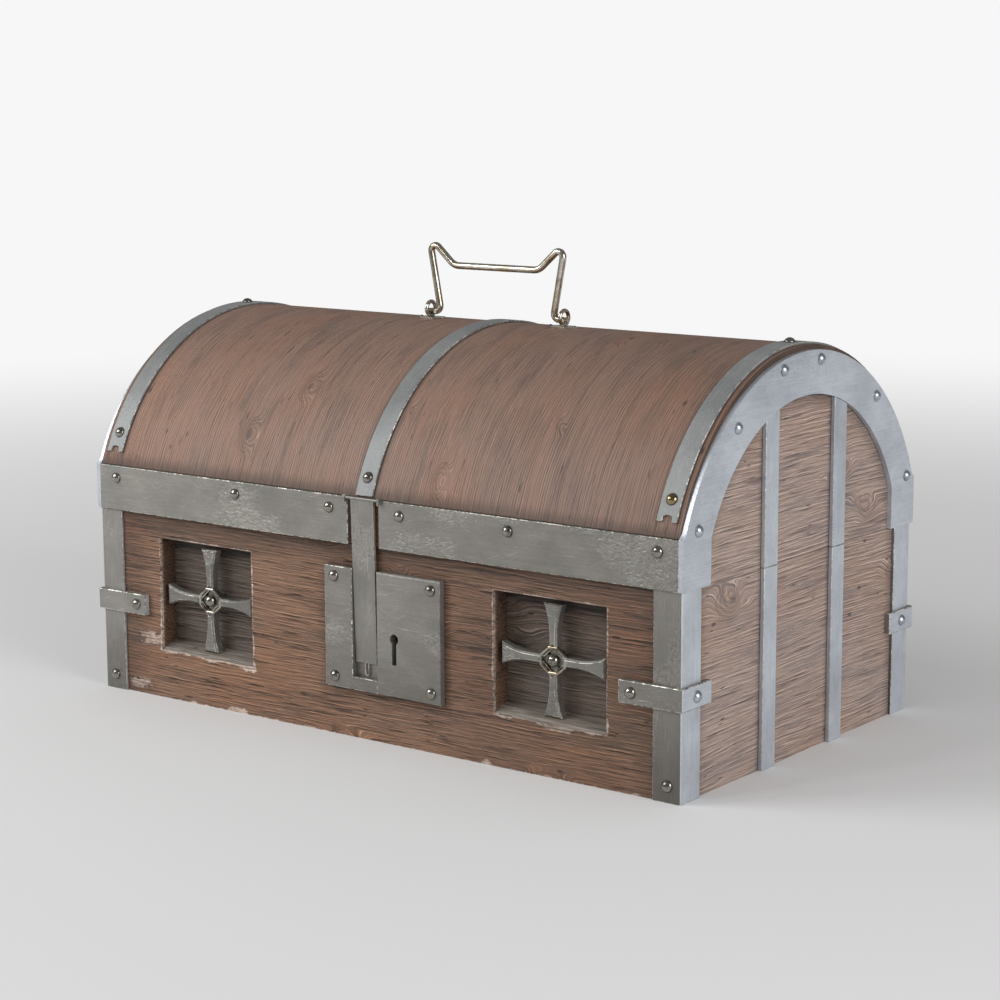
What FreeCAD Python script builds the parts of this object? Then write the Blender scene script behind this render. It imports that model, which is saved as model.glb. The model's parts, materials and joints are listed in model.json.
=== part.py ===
# Domed strong chest: a nailed oak coffer bound in iron.
# The body carries two windows with flared crosses, a sunk lock with its plates, and the lower halves
# of two back hinges. The lid is a bent board on two lunettes, with bands, arch plates, straps,
# a T-headed hasp that drops over the lock bolt, and a wire bail in two screw eyes.
# Axes: X to the right along the front, Y to the back, Z up. Origin: centre of the resting face.
import FreeCAD
import Part
import Sketcher
import math
import os
import re

V = FreeCAD.Vector
WIRE_FACETS = 6
PULL_FACETS = 4
EYE_FACETS = 4
NAIL_FACETS = 6

SIZES = {
    # wooden body
    "half_length": 278.0,
    "half_depth": 159.7,
    "body_height": 148.7,
    "front_wall": 17.0,
    "end_wall": 16.0,
    "bottom_wall": 12.0,
    # windows in the front board
    "window_place": 167.4,
    "window_half": 49.6,
    "window_sill": 39.0,
    "window_head": 130.6,
    "backing_wall": 6.0,
    "backing_lap": 12.0,
    # lid: rails, lunettes and the bent top board
    "lid_bottom": 149.0,
    "rail_wall": 14.0,
    "rim_top": 185.5,
    "dome_radius": 170.0,
    "dome_centre": 132.0,
    "dome_wall": 14.0,
    "lunette_wall": 14.0,
    # corner straps
    "strap_iron": 2.0,
    "strap_front_leg": 21.0,
    "strap_end_leg": 22.7,
    "strap_corner": 1.5,
    "strap_nail_inset": 9.0,
    # corner brackets
    "bracket_iron": 3.0,
    "bracket_bottom": 66.0,
    "bracket_top": 82.7,
    "bracket_front_end": 230.0,
    "bracket_side_end": 127.5,
    "seat_gap": 0.3,
    # rim bands
    "band_iron": 3.8,
    "band_top": 185.1,
    "slot_left": 15.5,
    "slot_right": 14.7,
    # arch plates on the lid's ends
    "arch_iron": 3.8,
    "arch_centre": 127.5,
    "arch_outer": 171.0,
    "arch_inner": 139.0,
    "arch_leg_inside": 128.0,
    "arch_shoulder": 185.2,
    "arch_foot": 189.0,
    # battens up the ends
    "batten_iron": 3.3,
    "batten_place": 48.0,
    "batten_half": 9.0,
    # straps over the dome
    "dome_strap_iron": 1.6,
    "dome_strap_width": 16.5,
    "dome_strap_place": 265.25,
    "end_strap_tip": 196.0,
    "centre_strap_tip": 187.0,
    "strap_bed": 0.1,
    "fork_half": 3.8,
    "fork_depth": 3.3,
    # crosses in the windows
    "cross_height": 84.5,
    "cross_face": 156.0,
    "cross_back": 149.0,
    "cross_reach_across": 45.3,
    "cross_reach_up": 41.4,
    "cross_neck": 3.3,
    "cross_tip": 8.3,
    "cross_flare": 24.0,
    "boss_half": 5.0,
    "cross_sink": 3.0,
    "collar_outer": 13.2,
    "collar_inner": 11.2,
    "collar_face": 160.0,
    "collar_back": 147.0,
    "rivet_radius": 4.6,
    "rivet_rise": 3.4,
    "rivet_shank": 3.6,
    "rivet_length": 14.0,
    # lock plates
    "plates_bottom": 38.5,
    "plates_top": 131.5,
    "hasp_plate_left": 38.0,
    "plates_seam": 13.0,
    "keyhole_plate_right": 73.0,
    "hasp_plate_iron": 5.3,
    "keyhole_plate_iron": 5.8,
    "channel_left": 11.25,
    "channel_bottom": 48.5,
    "plate_bevel": 0.8,
    "keyhole_place": 29.8,
    "keyhole_height": 82.5,
    "keyhole_radius": 4.0,
    "keyhole_half": 2.2,
    "keyhole_bottom": 62.9,
    # lock case sunk in the front board
    "case_iron": 1.5,
    "case_depth": 13.7,
    "case_left": 14.0,
    "case_right": 60.0,
    "case_bottom": 60.0,
    "case_top": 112.0,
    "faceplate_left": 16.0,
    "faceplate_bottom": 44.0,
    "faceplate_top": 128.0,
    "staple_slot_half": 3.2,
    "staple_slot_bottom": 89.0,
    "staple_groove": 9.8,
    # bolt and spring
    "bolt_bottom": 94.0,
    "bolt_top": 104.0,
    "bolt_front": 157.4,
    "bolt_back": 153.6,
    "bolt_tip": 4.5,
    "bolt_tail": 57.0,
    "bolt_throw": 10.0,
    "stump_place": 42.0,
    "stump_radius": 2.0,
    "stump_fit": 0.15,
    "round_end": 1.01,
    "talon_left": 24.0,
    "talon_right": 36.0,
    "talon_depth": 6.0,
    "guide_left": 5.5,
    "guide_right": 14.0,
    "guide_fit": 0.2,
    "spring_place": 35.0,
    "spring_half": 20.0,
    "spring_iron": 0.7,
    # hasp
    "hasp_axis_out": 165.0,
    "hasp_axis_up": 185.0,
    "hasp_lean": 1.4,
    "hasp_iron": 2.2,
    "hasp_proud": 0.2,
    "hasp_half_top": 11.0,
    "hasp_half_end": 10.25,
    "hasp_length": 125.2,
    "trunnion_radius": 1.05,
    "trunnion_half": 16.8,
    "trunnion_fit": 0.07,
    "keeper_inside": 15.6,
    "keeper_iron": 1.8,
    "keeper_front": 166.9,
    "keeper_bottom": 181.7,
    "keeper_top": 186.9,
    "staple_half": 2.5,
    "staple_reach": 12.3,
    "staple_top": 78.0,
    "staple_bottom": 94.0,
    "staple_wall": 2.0,
    "staple_stand": 2.4,
    "pull_place": 0.0,
    "pull_half": 1.6,
    "pull_bend": 1.56,
    "pull_drop": 10.2,
    "pull_radius": 0.6,
    # bail and its eyes
    "pin_height": 307.65,
    "pin_radius": 1.85,
    "pin_end": 69.6,
    "wire_radius": 2.75,
    "bail_foot": 55.2,
    "bail_foot_bend": 4.5,
    "bail_foot_run": 6.0,
    "bail_peak_out": 66.6,
    "bail_peak_up": 59.2,
    "bail_peak_bend": 4.25,
    "grip_half": 41.4,
    "grip_up": 37.0,
    "grip_bend": 10.0,
    "taper_length": 2.4,
    "eye_place": 65.5,
    "eye_height": 309.4,
    "eye_ring": 5.2,
    "eye_wire": 1.3,
    "eye_shank_end": 289.0,
    "eye_hole": 1.5,
    "eye_plate_place": 64.0,
    "eye_plate_half": 7.0,
    "eye_plate_reach": 14.0,
    "eye_plate_iron": 0.9,
    # back hinges
    "hinge_place": 170.0,
    "hinge_half": 20.0,
    "hinge_axis_out": 168.3,
    "hinge_axis_up": 148.85,
    "knuckle_radius": 4.5,
    "knuckle_half": 6.6,
    "knuckle_gap": 0.4,
    "hinge_pin": 2.0,
    "hinge_fit": 0.06,
    "leaf_iron": 2.0,
    "lid_leaf_iron": 1.8,
    "leaf_bottom": 108.0,
    "leaf_top": 181.0,
    "web_drop": 2.3,
    "lug_reach": 7.4,
    "lug_half": 1.5,
    "lug_angle": 35.0,
    # nails
    "nail_radius": 4.6,
    "nail_rise": 3.3,
    "shoulder_radius": 0.71,
    "shoulder_rise": 0.62,
    "nail_shank": 2.4,
    "nail_length": 11.0,
    "pin_head_radius": 1.7,
    "pin_head_rise": 0.9,
    "pin_shank": 1.0,
    "pin_length": 5.0,
    "pin_inset": 2.6,
    "nail_fit": 0.06,
}

SKETCH_PLANES = {"front": "XZ_Plane", "side": "YZ_Plane", "plan": "XY_Plane"}
WORD = re.compile(r"[a-z][a-z_]*")

doc = FreeCAD.newDocument("StrongChest")
sheet = doc.addObject("Spreadsheet::Sheet", "Sizes")
parts = []


def fill_sheet():
    """Write every driving size beside its name, and give the cell that name."""
    for row, (alias, size) in enumerate(SIZES.items(), start=1):
        sheet.set("A%d" % row, alias)
        sheet.set("B%d" % row, str(size))
        sheet.setAlias("B%d" % row, alias)
    doc.recompute()


def bound(text):
    """The same expression with every size read from the sheet."""
    return WORD.sub(lambda word: "Sizes." + word.group() if word.group() in SIZES else word.group(), text)


def value(text):
    return float(sheet.evalExpression(bound(text)))


def drive(thing, where, text):
    """Tie a property to the sheet, unless it is a plain number that is already set."""
    if WORD.search(text):
        thing.setExpression(where, bound(text))


def part(thing, name):
    """Give a finished object its node's name, and keep it for the export."""
    thing.Label = name
    parts.append(thing)
    return thing


# ---------------------------------------------------------------- sketches

def new_body(name):
    return doc.addObject("PartDesign::Body", name)


def sketch_on(body, view, start="0"):
    """A sketch on one of the body's own planes, moved along the plane's normal.

    The normals are -Y for front, +X for side and +Z for plan."""
    plane = [f for f in body.Origin.OriginFeatures if f.Role == SKETCH_PLANES[view]][0]
    sketch = body.newObject("Sketcher::SketchObject", "sketch")
    sketch.AttachmentSupport = [(plane, "")]
    sketch.MapMode = "FlatFace"
    sketch.AttachmentOffset = FreeCAD.Placement(V(0, 0, value(start)), FreeCAD.Rotation())
    drive(sketch, "AttachmentOffset.Base.z", start)
    return sketch


def hold(sketch, kind, geometry, point, text):
    """Dimension one coordinate of a point from the sketch's origin."""
    number = sketch.addConstraint(Sketcher.Constraint(kind, -1, 1, geometry, point, value(text)))
    drive(sketch, "Constraints[%d]" % number, text)


def arc_middle(a, b, radius, side, large):
    """A point halfway along an arc from a to b that bulges to the left (1) or right (-1)."""
    half = (b - a) * 0.5
    rest = math.sqrt(max(radius ** 2 - half.Length ** 2, 0))
    sag = radius + rest if large else radius - rest
    left = V(-half.y, half.x, 0) * (1 / half.Length)
    return (a + b) * 0.5 + left * (side * sag)


def arc_through(a, middle, b):
    """An arc that always runs anticlockwise, as sketches store it."""
    turn = (middle - a).cross(b - middle).z
    return Part.Arc(a, middle, b) if turn > 0 else Part.Arc(b, middle, a)


def add_loop(sketch, corners):
    """A closed outline. A corner is (x, y), or (x, y, radius, side[, large]) where an arc leaves it."""
    first = sketch.GeometryCount
    spots = [V(value(corner[0]), value(corner[1]), 0) for corner in corners]
    count = len(corners)
    ends = []
    for i, corner in enumerate(corners):
        a = spots[i]
        b = spots[(i + 1) % count]
        if len(corner) == 2:
            edge = Part.LineSegment(a, b)
        else:
            large = len(corner) == 5
            edge = arc_through(a, arc_middle(a, b, value(corner[2]), corner[3], large), b)
        sketch.addGeometry(edge)
        starts_at_a = (sketch.Geometry[first + i].StartPoint - a).Length < 1e-6
        ends.append((1, 2) if starts_at_a else (2, 1))
    for i in range(count):
        j = (i + 1) % count
        sketch.addConstraint(Sketcher.Constraint("Coincident", first + i, ends[i][1], first + j, ends[j][0]))
    for i, corner in enumerate(corners):
        hold(sketch, "DistanceX", first + i, ends[i][0], corner[0])
        hold(sketch, "DistanceY", first + i, ends[i][0], corner[1])
        if len(corner) > 2:
            radius = Sketcher.Constraint("Radius", first + i, value(corner[2]))
            drive(sketch, "Constraints[%d]" % sketch.addConstraint(radius), corner[2])
    return sketch


def add_circle(sketch, x, y, radius):
    number = sketch.addGeometry(Part.Circle(V(value(x), value(y), 0), V(0, 0, 1), value(radius)))
    hold(sketch, "DistanceX", number, 3, x)
    hold(sketch, "DistanceY", number, 3, y)
    constraint = sketch.addConstraint(Sketcher.Constraint("Radius", number, value(radius)))
    drive(sketch, "Constraints[%d]" % constraint, radius)
    return sketch


def add_polygon(sketch, x, y, radius, sides):
    step = 360 / sides
    corners = []
    for i in range(sides):
        turn = "%g" % (step * (i + 0.5))
        corners.append(("%s + %s * cos(%s)" % (x, radius, turn), "%s + %s * sin(%s)" % (y, radius, turn)))
    return add_loop(sketch, corners)


def add_route(sketch, corners):
    """An open route of straight runs with a tangent arc at each inner corner: (x, y[, radius])."""
    spots = [V(value(corner[0]), value(corner[1]), 0) for corner in corners]
    last = len(corners) - 1
    bends = {}
    for i in range(1, last):
        back = (spots[i - 1] - spots[i]).normalize()
        ahead = (spots[i + 1] - spots[i]).normalize()
        half = back.getAngle(ahead) / 2
        radius = value(corners[i][2])
        centre = spots[i] + (back + ahead).normalize() * (radius / math.sin(half))
        reach = radius / math.tan(half)
        middle = centre + (spots[i] - centre).normalize() * radius
        bends[i] = (spots[i] + back * reach, middle, spots[i] + ahead * reach)
    previous = None
    for i in range(last):
        begin = bends[i][2] if i in bends else spots[i]
        end = bends[i + 1][0] if i + 1 in bends else spots[i + 1]
        run = sketch.addGeometry(Part.LineSegment(begin, end))
        if previous is None:
            hold(sketch, "DistanceX", run, 1, corners[0][0])
            hold(sketch, "DistanceY", run, 1, corners[0][1])
        else:
            arc = sketch.addGeometry(arc_through(*bends[i]))
            flipped = (sketch.Geometry[arc].StartPoint - bends[i][0]).Length > 1e-6
            sketch.addConstraint(Sketcher.Constraint("Tangent", previous, 2, arc, 2 if flipped else 1))
            sketch.addConstraint(Sketcher.Constraint("Tangent", arc, 1 if flipped else 2, run, 1))
            radius = Sketcher.Constraint("Radius", arc, value(corners[i][2]))
            drive(sketch, "Constraints[%d]" % sketch.addConstraint(radius), corners[i][2])
            corner = sketch.addGeometry(Part.Point(spots[i]), True)
            sketch.addConstraint(Sketcher.Constraint("PointOnObject", corner, 1, previous))
            sketch.addConstraint(Sketcher.Constraint("PointOnObject", corner, 1, run))
            hold(sketch, "DistanceX", corner, 1, corners[i][0])
            hold(sketch, "DistanceY", corner, 1, corners[i][1])
        previous = run
    hold(sketch, "DistanceX", previous, 2, corners[last][0])
    hold(sketch, "DistanceY", previous, 2, corners[last][1])
    return sketch


def box_loop(left, right, bottom, top):
    return [(left, bottom), (right, bottom), (right, top), (left, top)]


# ---------------------------------------------------------------- features

def pad(body, sketch, length):
    feature = body.newObject("PartDesign::Pad", "pad")
    feature.Profile = sketch
    drive(feature, "Length", length)
    sketch.Visibility = False
    doc.recompute()
    return feature


def pocket(body, sketch, depth):
    """Cut against the sketch's normal, and make sure that it did cut."""
    before = body.Shape.Volume
    feature = body.newObject("PartDesign::Pocket", "pocket")
    feature.Profile = sketch
    drive(feature, "Length", depth)
    doc.recompute()
    if body.Shape.Volume > before - 0.01:
        raise RuntimeError("a pocket in %s cut nothing" % body.Name)
    return feature


def far_or_near(side, near, thickness):
    """Where a plate starts that lies on the front or right (1) or on the back or left (-1)."""
    return near if side > 0 else "-(%s) - (%s)" % (near, thickness)


def plate(name, view, side, near, thickness, loops):
    body = new_body(name)
    sketch = sketch_on(body, view, far_or_near(side, near, thickness))
    for corners in loops:
        add_loop(sketch, corners)
    pad(body, sketch, thickness)
    return body


def less(name, base, *tools):
    """The base with the tools' shapes cut from it, as the named part."""
    for tool in tools:
        cut = doc.addObject("Part::Cut", name + "_cut")
        cut.Base = base
        cut.Tool = tool
        base = cut
    doc.recompute()
    return part(base, name)


def group(name, members):
    """Like pieces that share one node, each a solid of its own."""
    compound = doc.addObject("Part::Compound", name)
    compound.Links = members
    return part(compound, name)


# ---------------------------------------------------------------- nails

def nail_master(name, radius, rise, shank, length):
    """A hammered head with facets, that stands on the plane z = 0, and a square shank below it."""
    sections = []
    for share, height in (("1", "0"), ("shoulder_radius", "shoulder_rise * (%s)" % rise)):
        ring = doc.addObject("Part::RegularPolygon", name + "_ring")
        ring.Polygon = NAIL_FACETS
        drive(ring, "Circumradius", "%s * %s" % (share, radius))
        drive(ring, "Placement.Base.z", height)
        sections.append(ring)
    tip = doc.addObject("Part::Vertex", name + "_tip")
    drive(tip, "Z", rise)
    head = doc.addObject("Part::Loft", name + "_head")
    head.Sections = sections + [tip]
    head.Solid = True
    head.Ruled = True
    foot = doc.addObject("Part::Box", name + "_shank")
    for side in ("Length", "Width"):
        drive(foot, side, shank)
    drive(foot, "Height", length)
    for axis in "xy":
        drive(foot, "Placement.Base." + axis, "-(%s) / 2" % shank)
    drive(foot, "Placement.Base.z", "-(%s)" % length)
    nail = doc.addObject("Part::Fuse", name)
    nail.Base = head
    nail.Tool = foot
    doc.recompute()
    return nail


def stand(spot, outward):
    """The placement that turns a nail's axis to point out of the surface at this spot."""
    return FreeCAD.Placement(V(*spot), FreeCAD.Rotation(V(0, 0, 1), V(*outward)))


def place_nails(name, master, places):
    """Copies of one nail at its places."""
    nails = doc.addObject("Part::Feature", name)
    nails.Shape = Part.makeCompound([master.Shape.transformed(spot.toMatrix(), True) for spot in places])
    return part(nails, name)


def nail_holes(name, places, shank, length):
    """Square holes for the shanks, a hair wider and deeper than they are."""
    fit = value("nail_fit")
    half = value(shank) / 2 + fit
    deep = value(length) + fit
    high = value("nail_rise")
    blank = Part.makeBox(2 * half, 2 * half, deep + high, V(-half, -half, -deep))
    holes = doc.addObject("Part::Feature", name)
    holes.Shape = Part.makeCompound([blank.transformed(spot.toMatrix(), True) for spot in places])
    return holes


STRAP_NAIL_HEIGHT = 12.0
BRACKET_NAIL_HEIGHT = 74.4
BRACKET_FRONT_NAIL = 240.0
BRACKET_SIDE_NAIL = 146.0
BAND_NAIL_HEIGHT = 175.4
FRONT_BAND_NAILS = (-259.8, -129.8, -33.9, 34.2, 133.8, 261.0)
BACK_BAND_NAILS = (-260.0, -96.0, -32.0, 32.0, 96.0, 260.0)
ARCH_NAILS = ((-144.4, 189.0), (-95.4, 253.5), (-35.0, 287.7), (16.6, 290.7), (100.4, 254.8), (150.7, 187.5))
PLATE_NAILS = ((-28.8, 124.0), (-28.8, 46.8), (64.5, 124.0), (64.6, 46.9))
END_STRAP_NAIL = 210.6
CENTRE_STRAP_NAIL = 200.2
LEAF_NAIL_SPREAD = 12.0
BODY_LEAF_NAIL = 119.0
LID_LEAF_NAIL = 172.0


def body_nail_places():
    places = []
    strap_out = value("half_length + strap_iron")
    front = value("half_depth")
    for x in (-1, 1):
        for y in (-1, 1):
            edge = (x * value("half_length - strap_nail_inset"), y * (front + value("strap_iron")),
                    STRAP_NAIL_HEIGHT)
            places.append(stand(edge, (0, y, 0)))
            face = y * (front + value("strap_iron + bracket_iron"))
            places.append(stand((x * BRACKET_FRONT_NAIL, face, BRACKET_NAIL_HEIGHT), (0, y, 0)))
            flank = x * (strap_out + value("bracket_iron"))
            places.append(stand((flank, y * BRACKET_SIDE_NAIL, BRACKET_NAIL_HEIGHT), (x, 0, 0)))
        for spread in (-1, 1):
            across = x * value("hinge_place") + spread * LEAF_NAIL_SPREAD
            places.append(stand((across, front + value("leaf_iron"), BODY_LEAF_NAIL), (0, 1, 0)))
    for x, z in PLATE_NAILS:
        iron = value("keyhole_plate_iron" if x > value("plates_seam") else "hasp_plate_iron")
        places.append(stand((x, -front - iron, z), (0, -1, 0)))
    return places


def on_dome(x, rise, radius, side):
    """A spot on the dome straps at this height, with its outward direction."""
    up = rise - value("dome_centre")
    out = side * math.sqrt(radius ** 2 - up ** 2)
    return stand((x, out, rise), (0, out, up))


def lid_nail_places():
    places = []
    face = value("half_depth + band_iron")
    for x in FRONT_BAND_NAILS:
        places.append(stand((x, -face, BAND_NAIL_HEIGHT), (0, -1, 0)))
    for x in BACK_BAND_NAILS:
        places.append(stand((x, face, BAND_NAIL_HEIGHT), (0, 1, 0)))
    flank = value("half_length + arch_iron")
    radius = value("dome_radius + strap_bed + dome_strap_iron")
    for x in (-1, 1):
        for y, z in ARCH_NAILS:
            places.append(stand((x * flank, y, z), (x, 0, 0)))
        for side in (-1, 1):
            places.append(on_dome(x * value("dome_strap_place"), END_STRAP_NAIL, radius, side))
            across = x * value("hinge_place") + side * LEAF_NAIL_SPREAD
            places.append(stand((across, face + value("lid_leaf_iron"), LID_LEAF_NAIL), (0, 1, 0)))
        places.append(on_dome(x * value("dome_strap_place"), value("dome_centre") + radius, radius, 1))
    for side in (-1, 1):
        places.append(on_dome(0, CENTRE_STRAP_NAIL, radius, side))
    return places


def eye_pin_places():
    top = value("dome_centre + dome_radius + eye_plate_iron")
    reach = value("eye_plate_reach - pin_inset")
    spots = [side * value("eye_plate_place") + end * reach for side in (-1, 1) for end in (-1, 1)]
    return [stand((x, 0, top), (0, 0, 1)) for x in spots]


def rivet_places():
    face = value("cross_face - cross_sink")
    return [stand((side * value("window_place"), -face, value("cross_height")), (0, -1, 0))
            for side in (-1, 1)]


# ---------------------------------------------------------------- wooden body

def window_loop(side):
    middle = "%d * window_place" % side
    return box_loop(middle + " - window_half", middle + " + window_half", "window_sill", "window_head")


def make_front_board(holes):
    """The front board with its two windows and the mortise for the lock."""
    board = box_loop("-half_length", "half_length", "0", "body_height")
    inner = "half_depth - front_wall"
    body = plate("front_blank", "front", 1, inner, "front_wall", [board, window_loop(-1), window_loop(1)])
    faceplate = box_loop("-faceplate_left", "case_right", "faceplate_bottom", "faceplate_top")
    pocket(body, add_loop(sketch_on(body, "front", "half_depth"), faceplate), "case_iron")
    case = box_loop("-case_left", "case_right", "case_bottom", "case_top")
    pocket(body, add_loop(sketch_on(body, "front", "half_depth"), case), "case_depth")
    groove = box_loop("-staple_slot_half", "staple_slot_half", "case_top - case_iron", "body_height")
    pocket(body, add_loop(sketch_on(body, "front", "half_depth"), groove), "staple_groove")
    return less("front_board", body, holes)


def make_walls(holes):
    back = box_loop("-half_length", "half_length", "0", "body_height")
    body = plate("back_blank", "front", -1, "half_depth - front_wall", "front_wall", [back])
    less("back_board", body, holes)
    end = box_loop("-half_depth + front_wall", "half_depth - front_wall", "0", "body_height")
    for side, name in ((-1, "left_end_board"), (1, "right_end_board")):
        body = plate(name + "_blank", "side", side, "half_length - end_wall", "end_wall", [end])
        less(name, body, holes)
    floor = box_loop("-half_length + end_wall", "half_length - end_wall",
                     "-half_depth + front_wall", "half_depth - front_wall")
    part(plate("bottom_blank", "plan", 1, "0", "bottom_wall", [floor]), "bottom_board")


def make_window_backs(holes):
    for side, name in ((-1, "left_window_back"), (1, "right_window_back")):
        middle = "%d * window_place" % side
        reach = "(window_half + backing_lap)"
        outline = box_loop(middle + " - " + reach, middle + " + " + reach,
                           "bottom_wall", "window_head + backing_lap")
        near = "half_depth - front_wall - backing_wall"
        less(name, plate(name + "_blank", "front", 1, near, "backing_wall", [outline]), holes)


# ---------------------------------------------------------------- iron on the body

def corner_loop(x, y, out_x, out_y, in_x, in_y, end_x, end_y, round_to):
    """An angle iron seen in plan: outer faces, inner faces, and how far each leg reaches."""
    def at(px, py):
        return ("%d * (%s)" % (x, px), "%d * (%s)" % (y, py))
    turn = at("(%s) - (%s)" % (out_x, round_to), out_y)
    bulge = x * y
    return [at(end_x, in_y), at(end_x, out_y), turn + (round_to, bulge),
            at(out_x, "(%s) - (%s)" % (out_y, round_to)), at(out_x, end_y), at(in_x, end_y), at(in_x, in_y)]


def make_corner_straps(holes):
    for x, hand in ((-1, "left"), (1, "right")):
        for y, face in ((-1, "front"), (1, "back")):
            outline = corner_loop(x, y, "half_length + strap_iron", "half_depth + strap_iron",
                                  "half_length", "half_depth", "half_length - strap_front_leg",
                                  "half_depth - strap_end_leg", "strap_corner")
            name = "%s_%s_corner_strap" % (face, hand)
            less(name, plate(name + "_blank", "plan", 1, "0", "body_height", [outline]), holes)


def make_corner_brackets(holes):
    """Short angles that lap over the corner straps and step down to the wood at both ends."""
    for x, hand in ((-1, "left"), (1, "right")):
        for y, face in ((-1, "front"), (1, "back")):
            outline = corner_loop(x, y, "half_length + strap_iron + bracket_iron",
                                  "half_depth + strap_iron + bracket_iron", "half_length + strap_iron",
                                  "half_depth + strap_iron", "bracket_front_end", "bracket_side_end",
                                  "strap_corner")
            step_x = "%d * (half_length - strap_front_leg - seat_gap)" % x
            step_y = "%d * (half_depth - strap_end_leg - seat_gap)" % y
            wood_x = "%d * half_length" % x
            wood_y = "%d * half_depth" % y
            end_x = "%d * bracket_front_end" % x
            end_y = "%d * bracket_side_end" % y
            strap_x = "%d * (half_length + strap_iron)" % x
            strap_y = "%d * (half_depth + strap_iron)" % y
            inner = [(wood_x, end_y), (wood_x, step_y), (strap_x, step_y), (strap_x, strap_y),
                     (step_x, strap_y), (step_x, wood_y), (end_x, wood_y)]
            name = "%s_%s_corner_bracket" % (face, hand)
            body = plate(name + "_blank", "plan", 1, "bracket_bottom", "bracket_top - bracket_bottom",
                         [outline[1:5] + inner])
            less(name, body, holes)


def make_battens():
    """Flat bars up the ends: the lower halves on the body, the upper ones up to the arch plates."""
    arch = "arch_inner - seat_gap / 2"
    for x, hand in ((-1, "left"), (1, "right")):
        for y, face in ((-1, "front"), (1, "back")):
            near = "%d * (batten_place - batten_half)" % y
            far = "%d * (batten_place + batten_half)" % y
            lower = box_loop(near, far, "0", "body_height")
            body = plate("batten_low", "side", x, "half_length", "batten_iron", [lower])
            part(body, "%s_%s_lower_batten" % (face, hand))

            def crown(reach):
                return "arch_centre + sqrt((%s) ^ 2 - (%s) ^ 2)" % (arch, reach)
            upper = [(near, "lid_bottom"), (far, "lid_bottom"),
                     (far, crown(far), arch, -y), (near, crown(near))]
            body = plate("batten_high", "side", x, "half_length", "batten_iron", [upper])
            part(body, "%s_%s_upper_batten" % (face, hand))


# ---------------------------------------------------------------- crosses

def turned(point, quarter):
    """The same point of an arm, a quarter turn further round each time."""
    along, across = point
    return [(along, across), ("-(%s)" % across, along),
            ("-(%s)" % along, "-(%s)" % across), (across, "-(%s)" % along)][quarter]


def cross_loop(middle):
    """Four arms with parallel necks that flare in arcs to straight tips."""
    flare = "(cross_flare ^ 2 + (cross_tip - cross_neck) ^ 2) / (2 * (cross_tip - cross_neck))"
    corners = []
    for quarter in range(4):
        reach = "cross_reach_across" if quarter % 2 == 0 else "cross_reach_up"
        start = "(%s - cross_flare)" % reach
        outline = [("cross_neck", "-cross_neck"), (start, "-cross_neck"), (reach, "-cross_tip"),
                   (reach, "cross_tip"), (start, "cross_neck")]
        arcs = {1: 1, 3: 1}
        for i, point in enumerate(outline):
            x, y = turned(point, quarter)
            corner = ("%s + %s" % (middle, x), "cross_height + %s" % y)
            corners.append(corner + ((flare, arcs[i]) if i in arcs else ()))
    return corners


def diamond(middle, reach):
    return [("%s + %s" % (middle, reach), "cross_height"), (middle, "cross_height + %s" % reach),
            ("%s - %s" % (middle, reach), "cross_height"), (middle, "cross_height - %s" % reach)]


def make_crosses(holes):
    """Each cross stands off the backing on a boss. A diamond collar sits astride its arms, and the
    middle is sunk inside the collar for the rivet."""
    for side, hand in ((-1, "left"), (1, "right")):
        middle = "%d * window_place" % side
        body = plate(hand + "_cross_body", "front", 1, "cross_back", "cross_face - cross_back",
                     [cross_loop(middle)])
        boss = box_loop(middle + " - boss_half", middle + " + boss_half",
                        "cross_height - boss_half", "cross_height + boss_half")
        pad(body, add_loop(sketch_on(body, "front", "half_depth - front_wall"), boss),
            "cross_back - half_depth + front_wall")
        hollow = diamond(middle, "collar_inner")
        pocket(body, add_loop(sketch_on(body, "front", "cross_face"), hollow), "cross_sink")
        less(hand + "_cross", body, holes)
        ring = plate(hand + "_collar_body", "front", 1, "collar_back", "collar_face - collar_back",
                     [diamond(middle, "collar_outer"), hollow])
        arm = "(cross_neck + nail_fit)"
        across = box_loop(middle + " - 2 * collar_outer", middle + " + 2 * collar_outer",
                          "cross_height - " + arm, "cross_height + " + arm)
        upright = box_loop(middle + " - " + arm, middle + " + " + arm,
                           "cross_height - 2 * collar_outer", "cross_height + 2 * collar_outer")
        for notch in (across, upright):
            cut = add_loop(sketch_on(ring, "front", "cross_face"), notch)
            pocket(ring, cut, "cross_face - collar_back")
        part(ring, hand + "_cross_collar")


# ---------------------------------------------------------------- lock

def bevel_front(body):
    """A small chamfer round the plate's front face."""
    doc.recompute()
    face_y = body.Shape.BoundBox.YMin
    names = []
    for i, edge in enumerate(body.Shape.Edges, start=1):
        box = edge.BoundBox
        flat = box.YMax - face_y < 1e-4
        if flat and isinstance(edge.Curve, Part.Line):
            names.append("Edge%d" % i)
    plain = body.Tip
    chamfer = body.newObject("PartDesign::Chamfer", "bevel")
    chamfer.Base = (plain, names)
    drive(chamfer, "Size", "plate_bevel")
    doc.recompute()


def make_lock_plates(holes):
    """Two plates side by side: the left one forks round the hasp, the right one has the keyhole."""
    fork = [("-hasp_plate_left", "plates_bottom"), ("plates_seam", "plates_bottom"),
            ("plates_seam", "channel_bottom"), ("-channel_left", "channel_bottom"),
            ("-channel_left", "plates_top"), ("-hasp_plate_left", "plates_top")]
    body = plate("hasp_plate_blank", "front", 1, "half_depth", "hasp_plate_iron", [fork])
    less("hasp_plate", body, holes)
    cover = box_loop("plates_seam", "keyhole_plate_right", "plates_bottom", "plates_top")
    body = plate("keyhole_plate_blank", "front", 1, "half_depth", "keyhole_plate_iron", [cover])
    bevel_front(body)
    pocket(body, add_loop(sketch_on(body, "front", "half_depth + keyhole_plate_iron"), keyhole_loop()),
           "keyhole_plate_iron")
    less("keyhole_plate", body, holes)


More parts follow.
